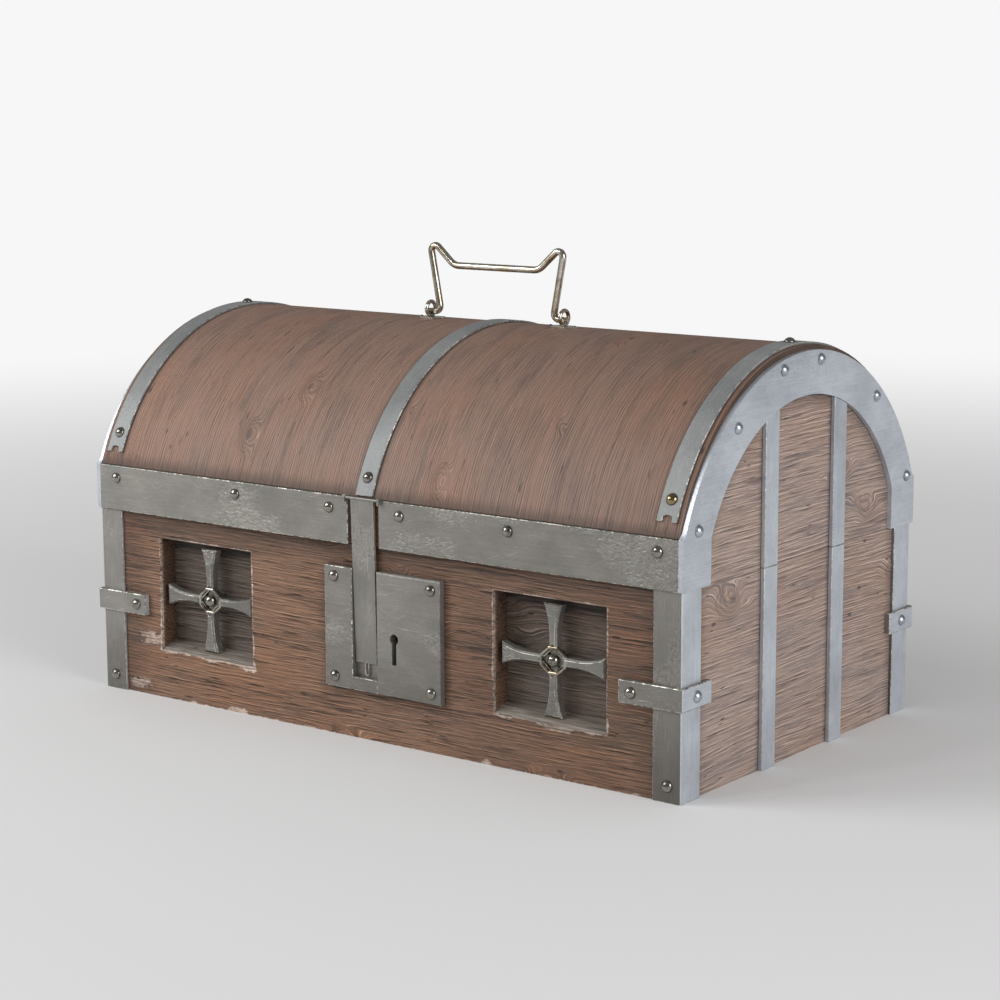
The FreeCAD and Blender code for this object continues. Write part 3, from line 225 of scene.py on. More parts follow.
class Paint:
    """The nodes of one material, or of the sky."""

    def __init__(self, name, kind="materials"):
        self.owner = getattr(bpy.data, kind).new(name)
        self.owner.use_nodes = True
        self.tree = self.owner.node_tree
        self.tree.nodes.clear()

    def node(self, kind, settings=None, sockets=None, out=0):
        made = self.tree.nodes.new(kind)
        for key, setting in (settings or {}).items():
            setattr(made, key, setting)
        for key, value in (sockets or {}).items():
            target = made.inputs[key]
            if isinstance(value, Wire):
                self.tree.links.new(value.socket, target)
            elif target.type == "RGBA" and len(value) == 3:
                target.default_value = (*value, 1.0)
            else:
                target.default_value = value
        return Wire(self, made.outputs[out]) if made.outputs else made

    def place(self):
        """Object coordinates as three values."""
        at = self.node("ShaderNodeTexCoord", out="Object")
        parts = self.node("ShaderNodeSeparateXYZ", sockets={0: at}).socket.node
        return [Wire(self, parts.outputs[i]) for i in range(3)]

    def join(self, x, y, z):
        return self.node("ShaderNodeCombineXYZ", sockets={0: x, 1: y, 2: z})

    def ray(self, kind):
        """One for a ray of this kind, and nought for any other."""
        return self.node("ShaderNodeLightPath", out="Is %s Ray" % kind)

    def noise(self, at, detail=2.0, roughness=0.5):
        """Noise at three values, each a place in metres times a number of waves per metre."""
        return self.node("ShaderNodeTexNoise", {"noise_dimensions": "3D"},
                         {"Vector": self.join(*at), "Scale": 1.0,
                          "Detail": detail, "Roughness": roughness})

    def cells(self, at):
        """Distance from the nearest of many scattered points."""
        return self.node("ShaderNodeTexVoronoi", {"feature": "F1"},
                         {"Vector": self.join(*at), "Scale": 1.0}, out="Distance")

    def mix(self, share, first, second):
        return self.node("ShaderNodeMix", {"data_type": "RGBA", "clamp_factor": True},
                         {0: share, 6: first, 7: second}, out=2)

    def bump(self, height, distance, strength=1.0):
        return self.node("ShaderNodeBump",
                         sockets={"Height": height, "Distance": distance, "Strength": strength})

    def surface(self, **sockets):
        names = {key.replace("_", " "): value for key, value in sockets.items()}
        shader = self.node("ShaderNodeBsdfPrincipled", sockets=names)
        self.node("ShaderNodeOutputMaterial", sockets={"Surface": shader})


def along_x(paint):
    x, y, z = paint.place()
    return x, z, y


def along_y(paint):
    x, y, z = paint.place()
    return y, z, x


def along_z(paint):
    x, y, z = paint.place()
    return z, x, y


def along_arc(paint):
    """Length round the dome, place along it, and distance from its axis."""
    x, y, z = paint.place()
    arc = y.work("ARCTAN2", y, z - DOME_CENTRE) * DOME_RADIUS
    return arc, x, from_axis(y, z, DOME_CENTRE)


# ------------------------ wood

def darker(colour, share):
    return tuple(share * c for c in colour)


def lighter(colour, share):
    return tuple(min(1.0, share * c) for c in colour)


def wood(name, shades, bare, lie, pitch=3.0, relief=1.0, contrast=1.0, lines=0.2, length=1.0, knot=1.0,
         cracks=1.0, seed=0.0, wander=17.0, grime=None, chips=None):
    """Old open-grained wood: ridges and dark gaps that wander along the grain and close round knots,
    over broad weathered streaks, with fine fibres, short cracks and dents. The gaps and the ridges'
    undersides get painted shade and their upper lips a painted highlight, as light from above would give."""
    main, warm, grey, dark = shades
    paint = Paint(name)
    u, v, w = lie(paint)
    u = u + seed
    sway = paint.noise((u * 3.4, v * 7.0, w * 7.0), detail=1.0) - 0.5
    ripple = paint.noise((u * 26.0, v * 44.0, w * 44.0), detail=2.0) - 0.5
    cloud = paint.noise((u * 8.0, v * 13.0, w * 13.0 + 2.0), detail=3.0)
    spot = paint.cells((u * (9.0 / knot), v * (17.0 / knot), w * 6.0))
    eye = spot.step(0.33, 0.0) * cloud.step(0.48, 0.54)
    curl = (eye * 30.0).sine().step(0.1, 0.9) * eye.step(0.06, 0.30)
    bent = v + sway * (wander * MM) + ripple * (2.3 * MM) + eye * (20.0 * MM * knot)
    across = bent * (1000.0 / pitch)
    run = u * (22.0 / length)
    ridge = paint.noise((run, across * 1.9, w * 500.0), detail=4.0, roughness=0.6)
    # The ridges again a little lower, to paint light and shade on them as if lit from above.
    below = paint.noise((run, across * 1.9 - 0.30, w * 500.0), detail=4.0, roughness=0.6)
    fibre = paint.noise((u * 40.0, bent * 1150.0, w * 900.0), detail=2.0, roughness=0.6)
    ring = (across * (2 * math.pi) + ripple * 2.0).sine() * 0.5 + 0.5
    streak = paint.noise((u * 11.0, bent * 58.0, w * 40.0), detail=5.0, roughness=0.66)
    strand = paint.noise((u * 12.0, bent * 190.0 + 3.0, w * 90.0), detail=3.0, roughness=0.6)
    crack = paint.noise((u * 60.0, bent * 400.0 + 9.0, w * 90.0), detail=1.0).step(0.74, 0.77)
    dent = paint.cells((u * 30.0, v * 70.0, w * 46.0)).step(0.12, 0.06) * cloud.step(0.52, 0.58)
    # Painted shade in the grooves between the ridges and under each ridge, and a painted highlight on
    # each upper lip.
    shaded_groove = ridge.step(0.43, 0.34)
    painted_lip_highlight = (ridge - below).step(0.03, 0.13)
    painted_underside_shade = (below - ridge).step(0.02, 0.16)
    colour = paint.mix(cloud.step(0.40, 0.66), main, warm)
    colour = paint.mix(streak.step(0.46, 0.72) * 0.8, colour, grey)
    colour = paint.mix(strand.step(0.47, 0.30) * (0.50 * contrast), colour, dark)
    colour = paint.mix(ring.step(0.55, 1.0) * strand.step(0.36, 0.56) * lines, colour, dark)
    colour = paint.mix(fibre.step(0.56, 0.30) * (0.30 * contrast), colour, dark)
    # Painted shade and painted highlight from the ridges' relief.
    colour = paint.mix(painted_underside_shade * (0.40 * contrast), colour, dark)
    colour = paint.mix(shaded_groove * (0.60 * contrast), colour, dark)
    colour = paint.mix(painted_lip_highlight * (0.50 * contrast), colour, lighter(main, 1.9))
    colour = paint.mix(curl * 0.34, colour, dark)
    colour = paint.mix(eye.step(0.84, 0.97) * 0.7, colour, dark)
    colour = paint.mix(crack * (0.8 * cracks), colour, darker(dark, 0.45))
    colour = paint.mix(dent * 0.75, colour, darker(dark, 0.6))
    height = ridge * 1.15 + fibre * 0.28 + ring * (0.4 * lines) - crack * 0.5 - dent * 0.5
    rough = fibre * 0.2 + shaded_groove * 0.15 + 0.47
    if chips:
        worn, depth = chips(paint)
        fresh = paint.mix(ridge.step(0.36, 0.56), darker(bare, 0.45), lighter(bare, 1.15))
        colour = paint.mix(worn, colour, fresh)
        height = height - worn * depth + worn * ridge * 0.8
    # Painted shade where neighbouring parts would shade the wood, from the mask that the caller gives.
    if grime:
        shade_share = grime(paint) * (cloud * 0.6 + 0.7)
        colour = paint.mix(shade_share.below(1.0) * 0.82, colour, darker(dark, 0.55))
    paint.surface(Base_Color=colour, Roughness=rough, Normal=paint.bump(height, 0.62 * MM * relief),
                  Coat_Weight=0.05, Coat_Roughness=0.4)


def near(distance, reach):
    """One on a line, fading to nothing this far away from it."""
    return abs(distance).step(reach, 0.0)


def shade_beside(distance, reach):
    """Painted contact shade on a line: black right on it, and a soft painted shade as far as reach."""
    return near(distance, 1.4 * MM).above(near(distance, reach) * 0.5)


def from_axis(y, z, height):
    """Distance from an axis that runs along the chest at this height."""
    up = z - height
    return (y * y + up * up) ** 0.5


# Bare scars on the front board: place along it and up it, and half their length and height.
SCARS = ((-0.2298, 0.0470, 0.0125, 0.0046), (-0.243, 0.0085, 0.014, 0.0035))


def front_grime(paint):
    """Painted shade under the rim band, along the corner irons, round the lock plates and on the windows'
    side walls, and towards the right where less light falls.
    """
    x, y, z = paint.place()
    under = (PARTING - z).step(30.0 * MM, 0.0) * 0.78
    edge = FRONT_IRON_EDGE - abs(x)
    corner = near(edge, 2.4 * MM).above(near(edge, 44.0 * MM) * 0.55)
    plate = (abs(x - LOCK_PLACE) - LOCK_HALF_WIDTH).above(abs(z - LOCK_HEIGHT) - LOCK_HALF_HEIGHT)
    # Painted shade on the windows' side walls.
    walls = (y - FRONT_FACE).step(-0.4 * MM, 3.6 * MM) * (z - WINDOW_SILL).step(0.0, 60.0 * MM, 0.6, 0.8)
    # Painted shade: darker to the right of the lock, where less light falls.
    right = x.step(50.0 * MM, 110.0 * MM) * z.step(20.0 * MM, 50.0 * MM, 0.28, 0.43)
    return under.above(corner).above(shade_beside(plate, 14.0 * MM)).above(walls).above(right)


def back_grime(paint):
    """Painted shade under the back band and along the corner irons."""
    x, y, z = paint.place()
    under = (PARTING - z).step(26.0 * MM, 0.0) * 0.6
    return under.above(shade_beside(FRONT_IRON_EDGE - abs(x), 12.0 * MM))


def recess_grime(paint):
    """Painted shadow cast by the heads of the windows, and softer painted shade below it."""
    x, y, z = paint.place()
    below = WINDOW_HEAD - z
    return below.step(12.1 * MM, 8.1 * MM) * 0.75 + below.step(30.0 * MM, 0.0) * 0.2


def end_grime(paint):
    """Painted shade beside the battens, the corner irons and under the arch."""
    x, y, z = paint.place()
    batten = shade_beside(abs(abs(y) - BATTEN_PLACE) - BATTEN_HALF, 6.0 * MM)
    corner = shade_beside(END_IRON_EDGE - abs(y), 7.0 * MM)
    arch = ARCH_RADIUS - from_axis(y, z.above(ARCH_CENTRE), ARCH_CENTRE)
    outside = (abs(x) - END_INNER_FACE).step(0.0, 4.0 * MM)
    return batten.above(corner).above(shade_beside(arch, 15.0 * MM)) * outside


def dome_grime(paint):
    """Painted shade where the bent top meets the bands, along both sides of the straps and at its ends,
    and broad painted shade over its crown and towards the right.
    """
    x, y, z = paint.place()
    over = z - BAND_TOP
    band = (over.step(12.5 * MM, 0.0) * 0.8).above(near(over, 2.4 * MM))
    end = shade_beside(abs(abs(x) - STRAP_PLACE) - STRAP_HALF, 6.0 * MM)
    middle = shade_beside(abs(x) - STRAP_HALF, 6.0 * MM)
    rim = near(abs(x) - DOME_RIM, 2.2 * MM)
    # Painted shade: darker over the crown and towards the right, where less light falls.
    broad = (z - DOME_TOP).step(-47.0 * MM, 0.0) * 0.22 + x.step(0.0, 280.0 * MM) * 0.16
    outside = (from_axis(y, z, DOME_CENTRE) - DOME_INNER_RADIUS).step(0.0, 4.0 * MM)
    return band.above(end).above(middle).above(rim).above(broad) * outside


def window_chips(paint):
    """Splinters along the windows' outer edges and the board's foot, and bare scars by the left corner.

    With them comes how deep they lie."""
    x, y, z = paint.place()
    across = abs(abs(x) - WINDOW_PLACE) - WINDOW_HALF
    middle = (WINDOW_SILL + WINDOW_HEAD) / 2
    up = abs(z - middle) - (WINDOW_HEAD - WINDOW_SILL) / 2
    away = across.above(up)
    torn = paint.noise((x * 190.0, y * 60.0, z * 340.0), detail=5.0, roughness=0.72) - 0.5
    patch = paint.noise((x * 34.0, y * 5.0, z * 34.0 + 3.0), detail=1.0)
    sill = (z - middle).step(0.0, -36.0 * MM)
    reach = (patch.step(0.40, 0.64) * (sill * 3.0 + 0.8) + 0.3) * MM
    rim = (away - reach - torn * (4.5 * MM)).step(0.4 * MM, -0.2 * MM) * away.step(-2.6 * MM, -1.6 * MM)
    front = (y - FRONT_FACE).step(0.5 * MM, -0.3 * MM)
    scar = (z - patch.step(0.58, 0.72) * (4.0 * MM) - torn * (5.0 * MM)).step(0.8 * MM, -0.4 * MM)
    for at_x, at_z, half_x, half_z in SCARS:
        reach_x = (x - at_x) / half_x
        reach_z = (z - at_z) / (half_z * 1.3)
        reach = (reach_x * reach_x + reach_z * reach_z) ** 0.5
        scar = scar.above((reach + torn * 3.2).step(1.0, 0.8))
    return rim.above(scar) * front * (torn.step(-0.16, 0.06) * 0.5 + 0.5), 0.9


# ------------------------ iron

def iron(name, main, worn, dark, lie, pits=1.0, rub=0.0, rough=0.42, dents=1.0, scratches=1.0,
         shine=0.55, fade=0.0):
    """Forged iron with hammered patches, pits, fine scratches and stains.

    Rub makes it a bare rubbed edge. The falloff paints shade on it towards the floor and to the right,
    where less light falls; a little painted shade near the floor comes even without it."""
    paint = Paint(name)
    u, v, w = lie(paint)
    side = v + w

    def grit(along, across, **look):
        return paint.noise((u * along, v * across, w * across), **look)

    brush = grit(26.0, 780.0, detail=3.0, roughness=0.62)
    marks = grit(34.0, 1700.0, detail=1.0).step(0.72, 0.76)
    rise = paint.noise(((u + side * 0.45) * 42.0, (side - u * 0.42) * 1800.0, w * 40.0), detail=1.0)
    fall = paint.noise(((u - side * 0.6) * 46.0, (side + u * 0.55) * 1800.0, w * 40.0 + 7.0), detail=1.0)
    scratch = marks.above(rise.step(0.735, 0.77)).above(fall.step(0.745, 0.78))
    hammer = grit(85.0, 85.0)
    stain = grit(19.0, 24.0, detail=5.0, roughness=0.68)
    grain = grit(650.0, 650.0, roughness=0.7)
    patch = paint.noise((u * 11.0 + 5.0, v * 20.0, w * 20.0)).step(0.48, 0.60)
    beaten = grit(300.0, 420.0, roughness=0.55) * patch
    pit = paint.cells((u * 330.0, v * 330.0, w * 330.0)).step(0.26, 0.10) * (patch * 0.6 + 0.05) * pits
    shade = stain * 0.75 + brush * 0.32 + grain * 0.22 - 0.15
    colour = paint.mix(shade.step(0.2, 0.85), darker(main, 0.68), lighter(main, 1.2))
    colour = paint.mix(beaten.step(0.30, 0.62) * (0.42 * dents), colour, lighter(main, 1.4))
    colour = paint.mix(pit * 0.6, colour, dark)
    colour = paint.mix(scratch * stain.step(0.40, 0.56) * (0.6 * scratches), colour, worn)
    x, y, z = paint.place()
    # Painted shade: darker near the floor and towards the right, where less light falls.
    colour = paint.mix(z.step(0.09, 0.0) * (0.08 + 1.7 * fade), colour, dark)
    colour = paint.mix(x.step(-0.28, 0.30) * fade, colour, dark)
    rough_now = stain * 0.20 + brush * 0.10 + pit * 0.25 + (rough - 0.15)
    if rub:
        chipped = grit(260.0, 260.0, detail=4.0, roughness=0.75)
        bright = (chipped + stain * 0.5 - 0.25).step(0.46, 0.56) * rub
        colour = paint.mix(bright, darker(main, 0.6), worn)
        rough_now = 0.42 - bright * 0.12
    height = hammer * (0.9 * dents) + beaten * (2.2 * dents) + brush * 0.10 + grain * 0.08 - pit * 0.5
    paint.surface(Base_Color=colour, Roughness=rough_now, Metallic=shine,
                  Normal=paint.bump(height, 0.5 * MM))


def polished(name, main, dark, rough=0.16, wear=0.5, tint=None):
    """Smooth metal with fine scratches and a film of tarnish in blotches."""
    paint = Paint(name)
    x, y, z = paint.place()
    blotch = paint.noise((x * 130.0, y * 130.0, z * 130.0), detail=4.0, roughness=0.6)
    film = paint.noise((x * 60.0, y * 60.0, z * 60.0 + 4.0), detail=2.0)
    line = paint.noise((x * 1400.0, y * 260.0, z * 900.0), detail=2.0).step(0.64, 0.72)
    mark = blotch.step(0.50, 0.64) * wear
    colour = paint.mix(film.step(0.45, 0.60) * 0.6, main, tint or main)
    colour = paint.mix(mark, colour, dark)
    colour = paint.mix(line * 0.4, colour, lighter(main, 1.5))
    paint.surface(Base_Color=colour, Metallic=1.0, Coat_Weight=0.6, Coat_Roughness=0.06,
                  Roughness=mark * 0.14 + line * 0.12 + (rough - 0.04),
                  Normal=paint.bump(blotch * 0.6 - line * 0.2, 0.10 * MM, 0.7))


def palette():
    """Every material, made once for the whole chest."""
    timber = bpy.context.scene.chest_wood
    metal = bpy.context.scene.chest_iron
    m = {key: tuple(getattr(metal, key)) for key in
         ("strap", "end", "top", "worn", "dark", "head", "brass", "wire", "tarnish")}

    def sawn(name, part, lie, **look):
        shades = [tuple(getattr(timber, part + "_" + kind)) for kind, about in WOOD_SHADES]
        wood(name, shades, tuple(timber.bare), lie, **look)

    def forged(name, main, lie, **look):
        iron(name, main, m["worn"], m["dark"], lie, **look)

    sawn("ridged_front_wood", "front", along_x, pitch=3.1, relief=3.2, contrast=1.6, lines=0.3,
         wander=9.0, grime=front_grime, chips=window_chips)
    sawn("ridged_back_wood", "front", along_x, pitch=3.5, relief=2.4, contrast=1.4, lines=0.3, seed=3.0,
         grime=back_grime)
    # The sills: paler and greyer, partly dust and partly painted light on their upward faces.
    sawn("dusty_sill_wood", "sill", along_x, pitch=3.5, relief=1.4, seed=4.0)
    sawn("ridged_rail_wood", "front", along_x, pitch=4.0, relief=1.6, seed=2.0)
    sawn("ridged_end_wood", "end", along_y, pitch=3.6, relief=2.1, contrast=1.25, lines=0.3, length=1.3,
         seed=5.0, grime=end_grime)
    sawn("bent_dome_wood", "dome", along_arc, pitch=2.2, relief=0.9, contrast=0.9, lines=0.5, length=1.5,
         knot=0.62, cracks=0.7, seed=1.0, grime=dome_grime)
    # The inner boards: darker, partly their own tone and partly painted shade of the window recesses.
    sawn("dark_inside_wood", "inside", along_x, pitch=3.6, relief=2.8, contrast=1.7, seed=8.0,
         grime=recess_grime)
    # The bright wire's brown blotches are partly tarnish and partly painted reflection of the wood round
    # it.
    polished("nickel_wire", m["wire"], m["tarnish"], rough=0.16, wear=0.5, tint=lighter(m["brass"], 1.2))
    # Painted light: the nail heads on the ends are a paler copy of the steel, as lit from the side.
    polished("nail_pale", darker(m["end"], 0.82), darker(m["head"], 0.5), rough=0.30, wear=0.5)
    polished("nail_steel", m["head"], darker(m["head"], 0.25), rough=0.16, wear=0.7)
    polished("nail_brass", m["brass"], darker(m["brass"], 0.25), rough=0.16, wear=0.6)
    polished("collar_steel", darker(m["wire"], 0.66), darker(m["tarnish"], 0.45), rough=0.14, wear=0.8,
             tint=m["brass"])
    # Painted shade inside the collar, with a painted amber reflection of the wood.
    polished("collar_inside", darker(m["tarnish"], 0.5), darker(m["dark"], 0.15), rough=0.3, wear=0.8,
             tint=m["brass"])
    iron("lock_works", m["dark"], m["strap"], darker(m["dark"], 0.4), along_x)
    for way, lie in (("x", along_x), ("z", along_z)):
        forged("strap_iron_" + way, lighter(m["strap"], 1.10), lie, fade=0.26)
    for way, lie in (("x", along_x), ("z", along_z), ("arc", along_arc)):
        forged("rubbed_iron_" + way, m["strap"], lie, rub=1.0)
    # Painted light: the end irons are a paler, bluer copy of the strap iron, as the ends are lit from the
    # side.
    for way, lie in (("y", along_y), ("z", along_z)):
        forged("end_iron_" + way, m["end"], lie, pits=0.1, rough=0.34, dents=0.25, scratches=0.4)
        forged("end_rubbed_iron_" + way, m["end"], lie, rub=0.7, dents=0.4)
    forged("smooth_strap_iron", m["top"], along_arc, pits=0.1, rough=0.52, dents=0.25, scratches=0.5,
           shine=0.35)
    forged("cross_iron", darker(m["strap"], 0.80), along_x, dents=1.2)


# ------------------------ meshes

def body_of_node(node):
    return frame["nodes"][node]["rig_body"]


def merged(node):
    """A copy of a CAD node's mesh, with its loose triangles joined."""
    bm = bmesh.new()
    bm.from_mesh(frame["nodes"][node].data)
    bmesh.ops.remove_doubles(bm, verts=bm.verts, dist=0.002 * MM)
    return bm


def from_node(node):
    """A merged copy of a CAD node's mesh, with its flat faces whole again."""
    bm = merged(node)
    bmesh.ops.dissolve_limit(bm, angle_limit=math.radians(0.4), verts=bm.verts, edges=bm.edges,
                             use_dissolve_boundaries=False)
    bmesh.ops.recalc_face_normals(bm, faces=bm.faces)
    return bm


def turn_of(edge):
    return edge.calc_face_angle(0.0)


def smooth_sides(bm):
    """Smooth shading on a spun or swept shape, apart from its flat caps, which have many corners."""
    for face in bm.faces:
        face.smooth = len(face.verts) < 6


def shade(bm, rounded, sharp=math.radians(28)):
    """Smooth shading that stops at sharp edges and where a rounded edge meets a flat face."""
    rounded = set(rounded)
    for face in bm.faces:
        face.smooth = True
    for edge in bm.edges:
        inside = [face in rounded for face in edge.link_faces]
        if all(inside) and inside:
            edge.smooth = turn_of(edge) < math.radians(60)
        elif any(inside):
            edge.smooth = False
        else:
            edge.smooth = turn_of(edge) < sharp


def bevel(bm, edges, width, steps):
    """Bevel these edges, and return the new faces."""
    return bmesh.ops.bevel(bm, geom=edges, offset=width, offset_type="OFFSET", segments=steps,
                           profile=0.5, affect="EDGES", clamp_overlap=True, material=-1)["faces"]


def round_edges(bm, width, steps=2, least=math.radians(35)):
    """Bevel the sharp outer edges, and return the new faces."""
    edges = [edge for edge in bm.edges if turn_of(edge) > least and edge.is_convex]
    return bevel(bm, edges, width, steps)


def mesh_from(name, bm):
    """A mesh of this name that takes over a finished bmesh."""
    mesh = bpy.data.meshes.new(name)
    bm.to_mesh(mesh)
    bm.free()
    return mesh


def put_in_scene(name, data):
    thing = bpy.data.objects.new(name, data)
    bpy.context.scene.collection.objects.link(thing)
    return thing


def place_piece(name, bm, paints, node, replaced=True):
    """Turn a finished bmesh into a piece that rides with a CAD node, and stands in for it if replaced."""
    piece = put_in_scene(name, mesh_from(name, bm))
    for paint in paints:
        piece.data.materials.append(bpy.data.materials[paint])
    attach(piece, body_of_node(node))
    if replaced:
        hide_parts(node)
    return piece


def dress(node, main, edge, width, steps=2, flank=None):
    """The node's own solid with rounded edges, which get a finish of their own.

    Flank is the finish of the faces that look to the left or right."""
    bm = from_node(node)
    rounded = round_edges(bm, width, steps)
    for face in bm.faces:
        if flank and abs(face.normal.x) > 0.6:
            face.material_index = 2
    for face in rounded:
        face.material_index = 1
    shade(bm, rounded)
    return place_piece(node + "_dressed", bm, (main, edge) + ((flank,) if flank else ()), node)


def box_of(mesh):
    """The lower and the upper corner of a mesh's box, and its middle."""
    places = [vert.co for vert in mesh.vertices]
    low = Vector([min(at[axis] for at in places) for axis in range(3)])
    high = Vector([max(at[axis] for at in places) for axis in range(3)])
    return low, high, (low + high) / 2


def shade_inside_walls(piece, paint):
    """Give the walls that look at a piece's own axis, along Y, a finish of their own: painted shade for
    the inside of the collar.
    """
    mesh = piece.data
    mesh.materials.append(bpy.data.materials[paint])
    low, high, middle = box_of(mesh)
    for face in mesh.polygons:
        away = face.center - middle
        away.y = 0.0
        if abs(face.normal.y) < 0.3 and face.normal.dot(away) < 0.0:
            face.material_index = len(mesh.materials) - 1


def dome_head(radius, rise, around=20, rows=5):
    """A domed nail head on the plane z = 0: an arc spun round the axis, closed below."""
    bm = bmesh.new()
    crown = (radius ** 2 + rise ** 2) / (2 * rise)
    start = math.asin(radius / crown)
    tip = bm.verts.new((0.0, 0.0, rise))
    chain = [tip]
    for row in range(1, rows + 1):
        angle = start * row / rows
        chain.append(bm.verts.new((crown * math.sin(angle), 0.0, rise - crown * (1 - math.cos(angle)))))
    edges = [bm.edges.new(pair) for pair in zip(chain, chain[1:])]
    bmesh.ops.spin(bm, geom=chain + edges, cent=(0, 0, 0), axis=(0, 0, 1), angle=2 * math.pi,
                   steps=around, use_merge=True)
    bmesh.ops.remove_doubles(bm, verts=bm.verts, dist=0.001 * MM)
    rim = [edge for edge in bm.edges if edge.is_boundary]
    bmesh.ops.holes_fill(bm, edges=rim, sides=0)
    bmesh.ops.recalc_face_normals(bm, faces=bm.faces)
    return bm


def islands(node):
    """The separate solids of a node, each as its merged corners, in the order of their places."""
    bm = merged(node)
    left = dict.fromkeys(bm.verts)
    found = []
    while left:
        todo = [left.popitem()[0]]
        group = []
        while todo:
            vert = todo.pop()
            group.append(vert.co.copy())
            for edge in vert.link_edges:
                other = edge.other_vert(vert)
                if other in left:
                    del left[other]
                    todo.append(other)
        found.append(group)
    bm.free()
    return sorted(found, key=lambda group: tuple(round(c, 5) for c in min(group, key=tuple)))


def nail_axis(points, length):
    """Where a nail's head stands and which way it points, from the solid's own corners."""
    centre = sum(points, Vector()) / len(points)
    tip = max(points, key=lambda point: (point - centre).length)
    shank = sorted(points, key=lambda point: (point - tip).length)[:4]
    end = sum(shank, Vector()) / len(shank)
    far = max(points, key=lambda point: (point - end).length)
    outward = (far - end).normalized()
    return end + outward * length, outward


def put_heads(name, node, radius, rise, length):
    """A domed head in place of every nail of a node, each turned and worn a little differently.

    The heads on the ends are painted paler and bluer, as light from the side would make them, and the one
    at the front tip of the right dome strap is brass."""
    rng = random.Random(node)
    whole = bmesh.new()
    steel, side_lit, brass = range(3)
    for points in islands(node):
        foot, outward = nail_axis(points, length)
        head = dome_head(radius, rise)
        for vert in head.verts:
            if vert.co.z > 0.05 * rise:
                vert.co *= 1.0 - 0.03 * rng.random()
        lean = Matrix.Rotation(math.radians(rng.uniform(-2.0, 2.0)), 4, "X")
        turn = outward.to_track_quat("Z", "Y").to_matrix().to_4x4()
        spin = Matrix.Rotation(rng.uniform(0, 2 * math.pi), 4, "Z")
        head.transform(Matrix.Translation(foot) @ turn @ lean @ spin)
        odd = foot.x > 0.26 and foot.y < -0.1 and outward.z > 0.1
        for face in head.faces:
            face.material_index = brass if odd else side_lit if abs(outward.x) > 0.7 else steel
        merge(whole, head)
    smooth_sides(whole)
    place_piece(name, whole, ("nail_steel", "nail_pale", "nail_brass"), node)


def finish_wire(bm):
    """Merge the points that coincide, turn the faces outwards and smooth the round sides."""
    bmesh.ops.remove_doubles(bm, verts=bm.verts, dist=0.001 * MM)
    bmesh.ops.recalc_face_normals(bm, faces=bm.faces)
    smooth_sides(bm)
    return bm


def wire_loop(corners, thick, around=12):
    """A closed loop of round wire through corners that share one depth, mitred at each."""
    bm = bmesh.new()
    rings = []
    depth = Vector((0.0, 1.0, 0.0))
    for at, here in enumerate(corners):
        before = (here - corners[at - 1]).normalized()
        after = (corners[(at + 1) % len(corners)] - here).normalized()
        along = (before + after).normalized()
        out = along.cross(depth)
        ring = bmesh.ops.create_circle(bm, segments=around, radius=thick, cap_ends=False)["verts"]
        frame_of_ring = Matrix((out / along.dot(before), depth, along)).transposed().to_4x4()
        bmesh.ops.transform(bm, verts=ring, matrix=Matrix.Translation(here) @ frame_of_ring)
        rings.append([edge for edge in bm.edges if all(vert in ring for vert in edge.verts)])
    mitres = {edge for ring in rings for edge in ring}
    for at, ring in enumerate(rings):
        bmesh.ops.bridge_loops(bm, edges=rings[at - 1] + ring)
    bmesh.ops.recalc_face_normals(bm, faces=bm.faces)
    smooth_sides(bm)
    for edge in bm.edges:
        edge.smooth = edge not in mitres
    return bm


def wire(corners, radius, around=16):
    """Round wire along straight runs joined by bends: (x, z) or (x, z, bend) in the plane y = 0."""
    spots = [Vector((corner[0], 0.0, corner[1])) for corner in corners]
    bm = bmesh.new()
    way = (spots[1] - spots[0]).normalized()
    ring = bmesh.ops.create_circle(bm, segments=around, radius=radius, cap_ends=False)["verts"]
    turn = way.to_track_quat("Z", "Y").to_matrix().to_4x4()
    bmesh.ops.transform(bm, verts=ring, matrix=Matrix.Translation(spots[0]) @ turn)
    edges = bm.edges[:]
    here = spots[0]

    def carry(edges, offset):
        grown = bmesh.ops.extrude_edge_only(bm, edges=edges)["geom"]
        verts = [item for item in grown if isinstance(item, bmesh.types.BMVert)]
        bmesh.ops.translate(bm, verts=verts, vec=offset)
        return [item for item in grown if isinstance(item, bmesh.types.BMEdge)
                and all(vert in verts for vert in item.verts)]

    for i in range(1, len(spots) - 1):
        back = (spots[i - 1] - spots[i]).normalized()
        ahead = (spots[i + 1] - spots[i]).normalized()
        half = back.angle(ahead) / 2
        bend = corners[i][2]
        reach = bend / math.tan(half)
        begin = spots[i] + back * reach
        edges = carry(edges, begin - here)
        centre = spots[i] + (back + ahead).normalized() * (bend / math.sin(half))
        angle = math.pi - 2 * half
        axis = (-back).cross(ahead).normalized()
        steps = max(3, int(angle / math.radians(9)))
        verts = list(dict.fromkeys(vert for edge in edges for vert in edge.verts))
        spun = bmesh.ops.spin(bm, geom=verts + edges, cent=centre, axis=axis, angle=angle, steps=steps)
        edges = [item for item in spun["geom_last"] if isinstance(item, bmesh.types.BMEdge)]
        here = spots[i] + ahead * reach
    carry(edges, spots[-1] - here)
    bmesh.ops.holes_fill(bm, edges=[edge for edge in bm.edges if edge.is_boundary], sides=0)
    return finish_wire(bm)


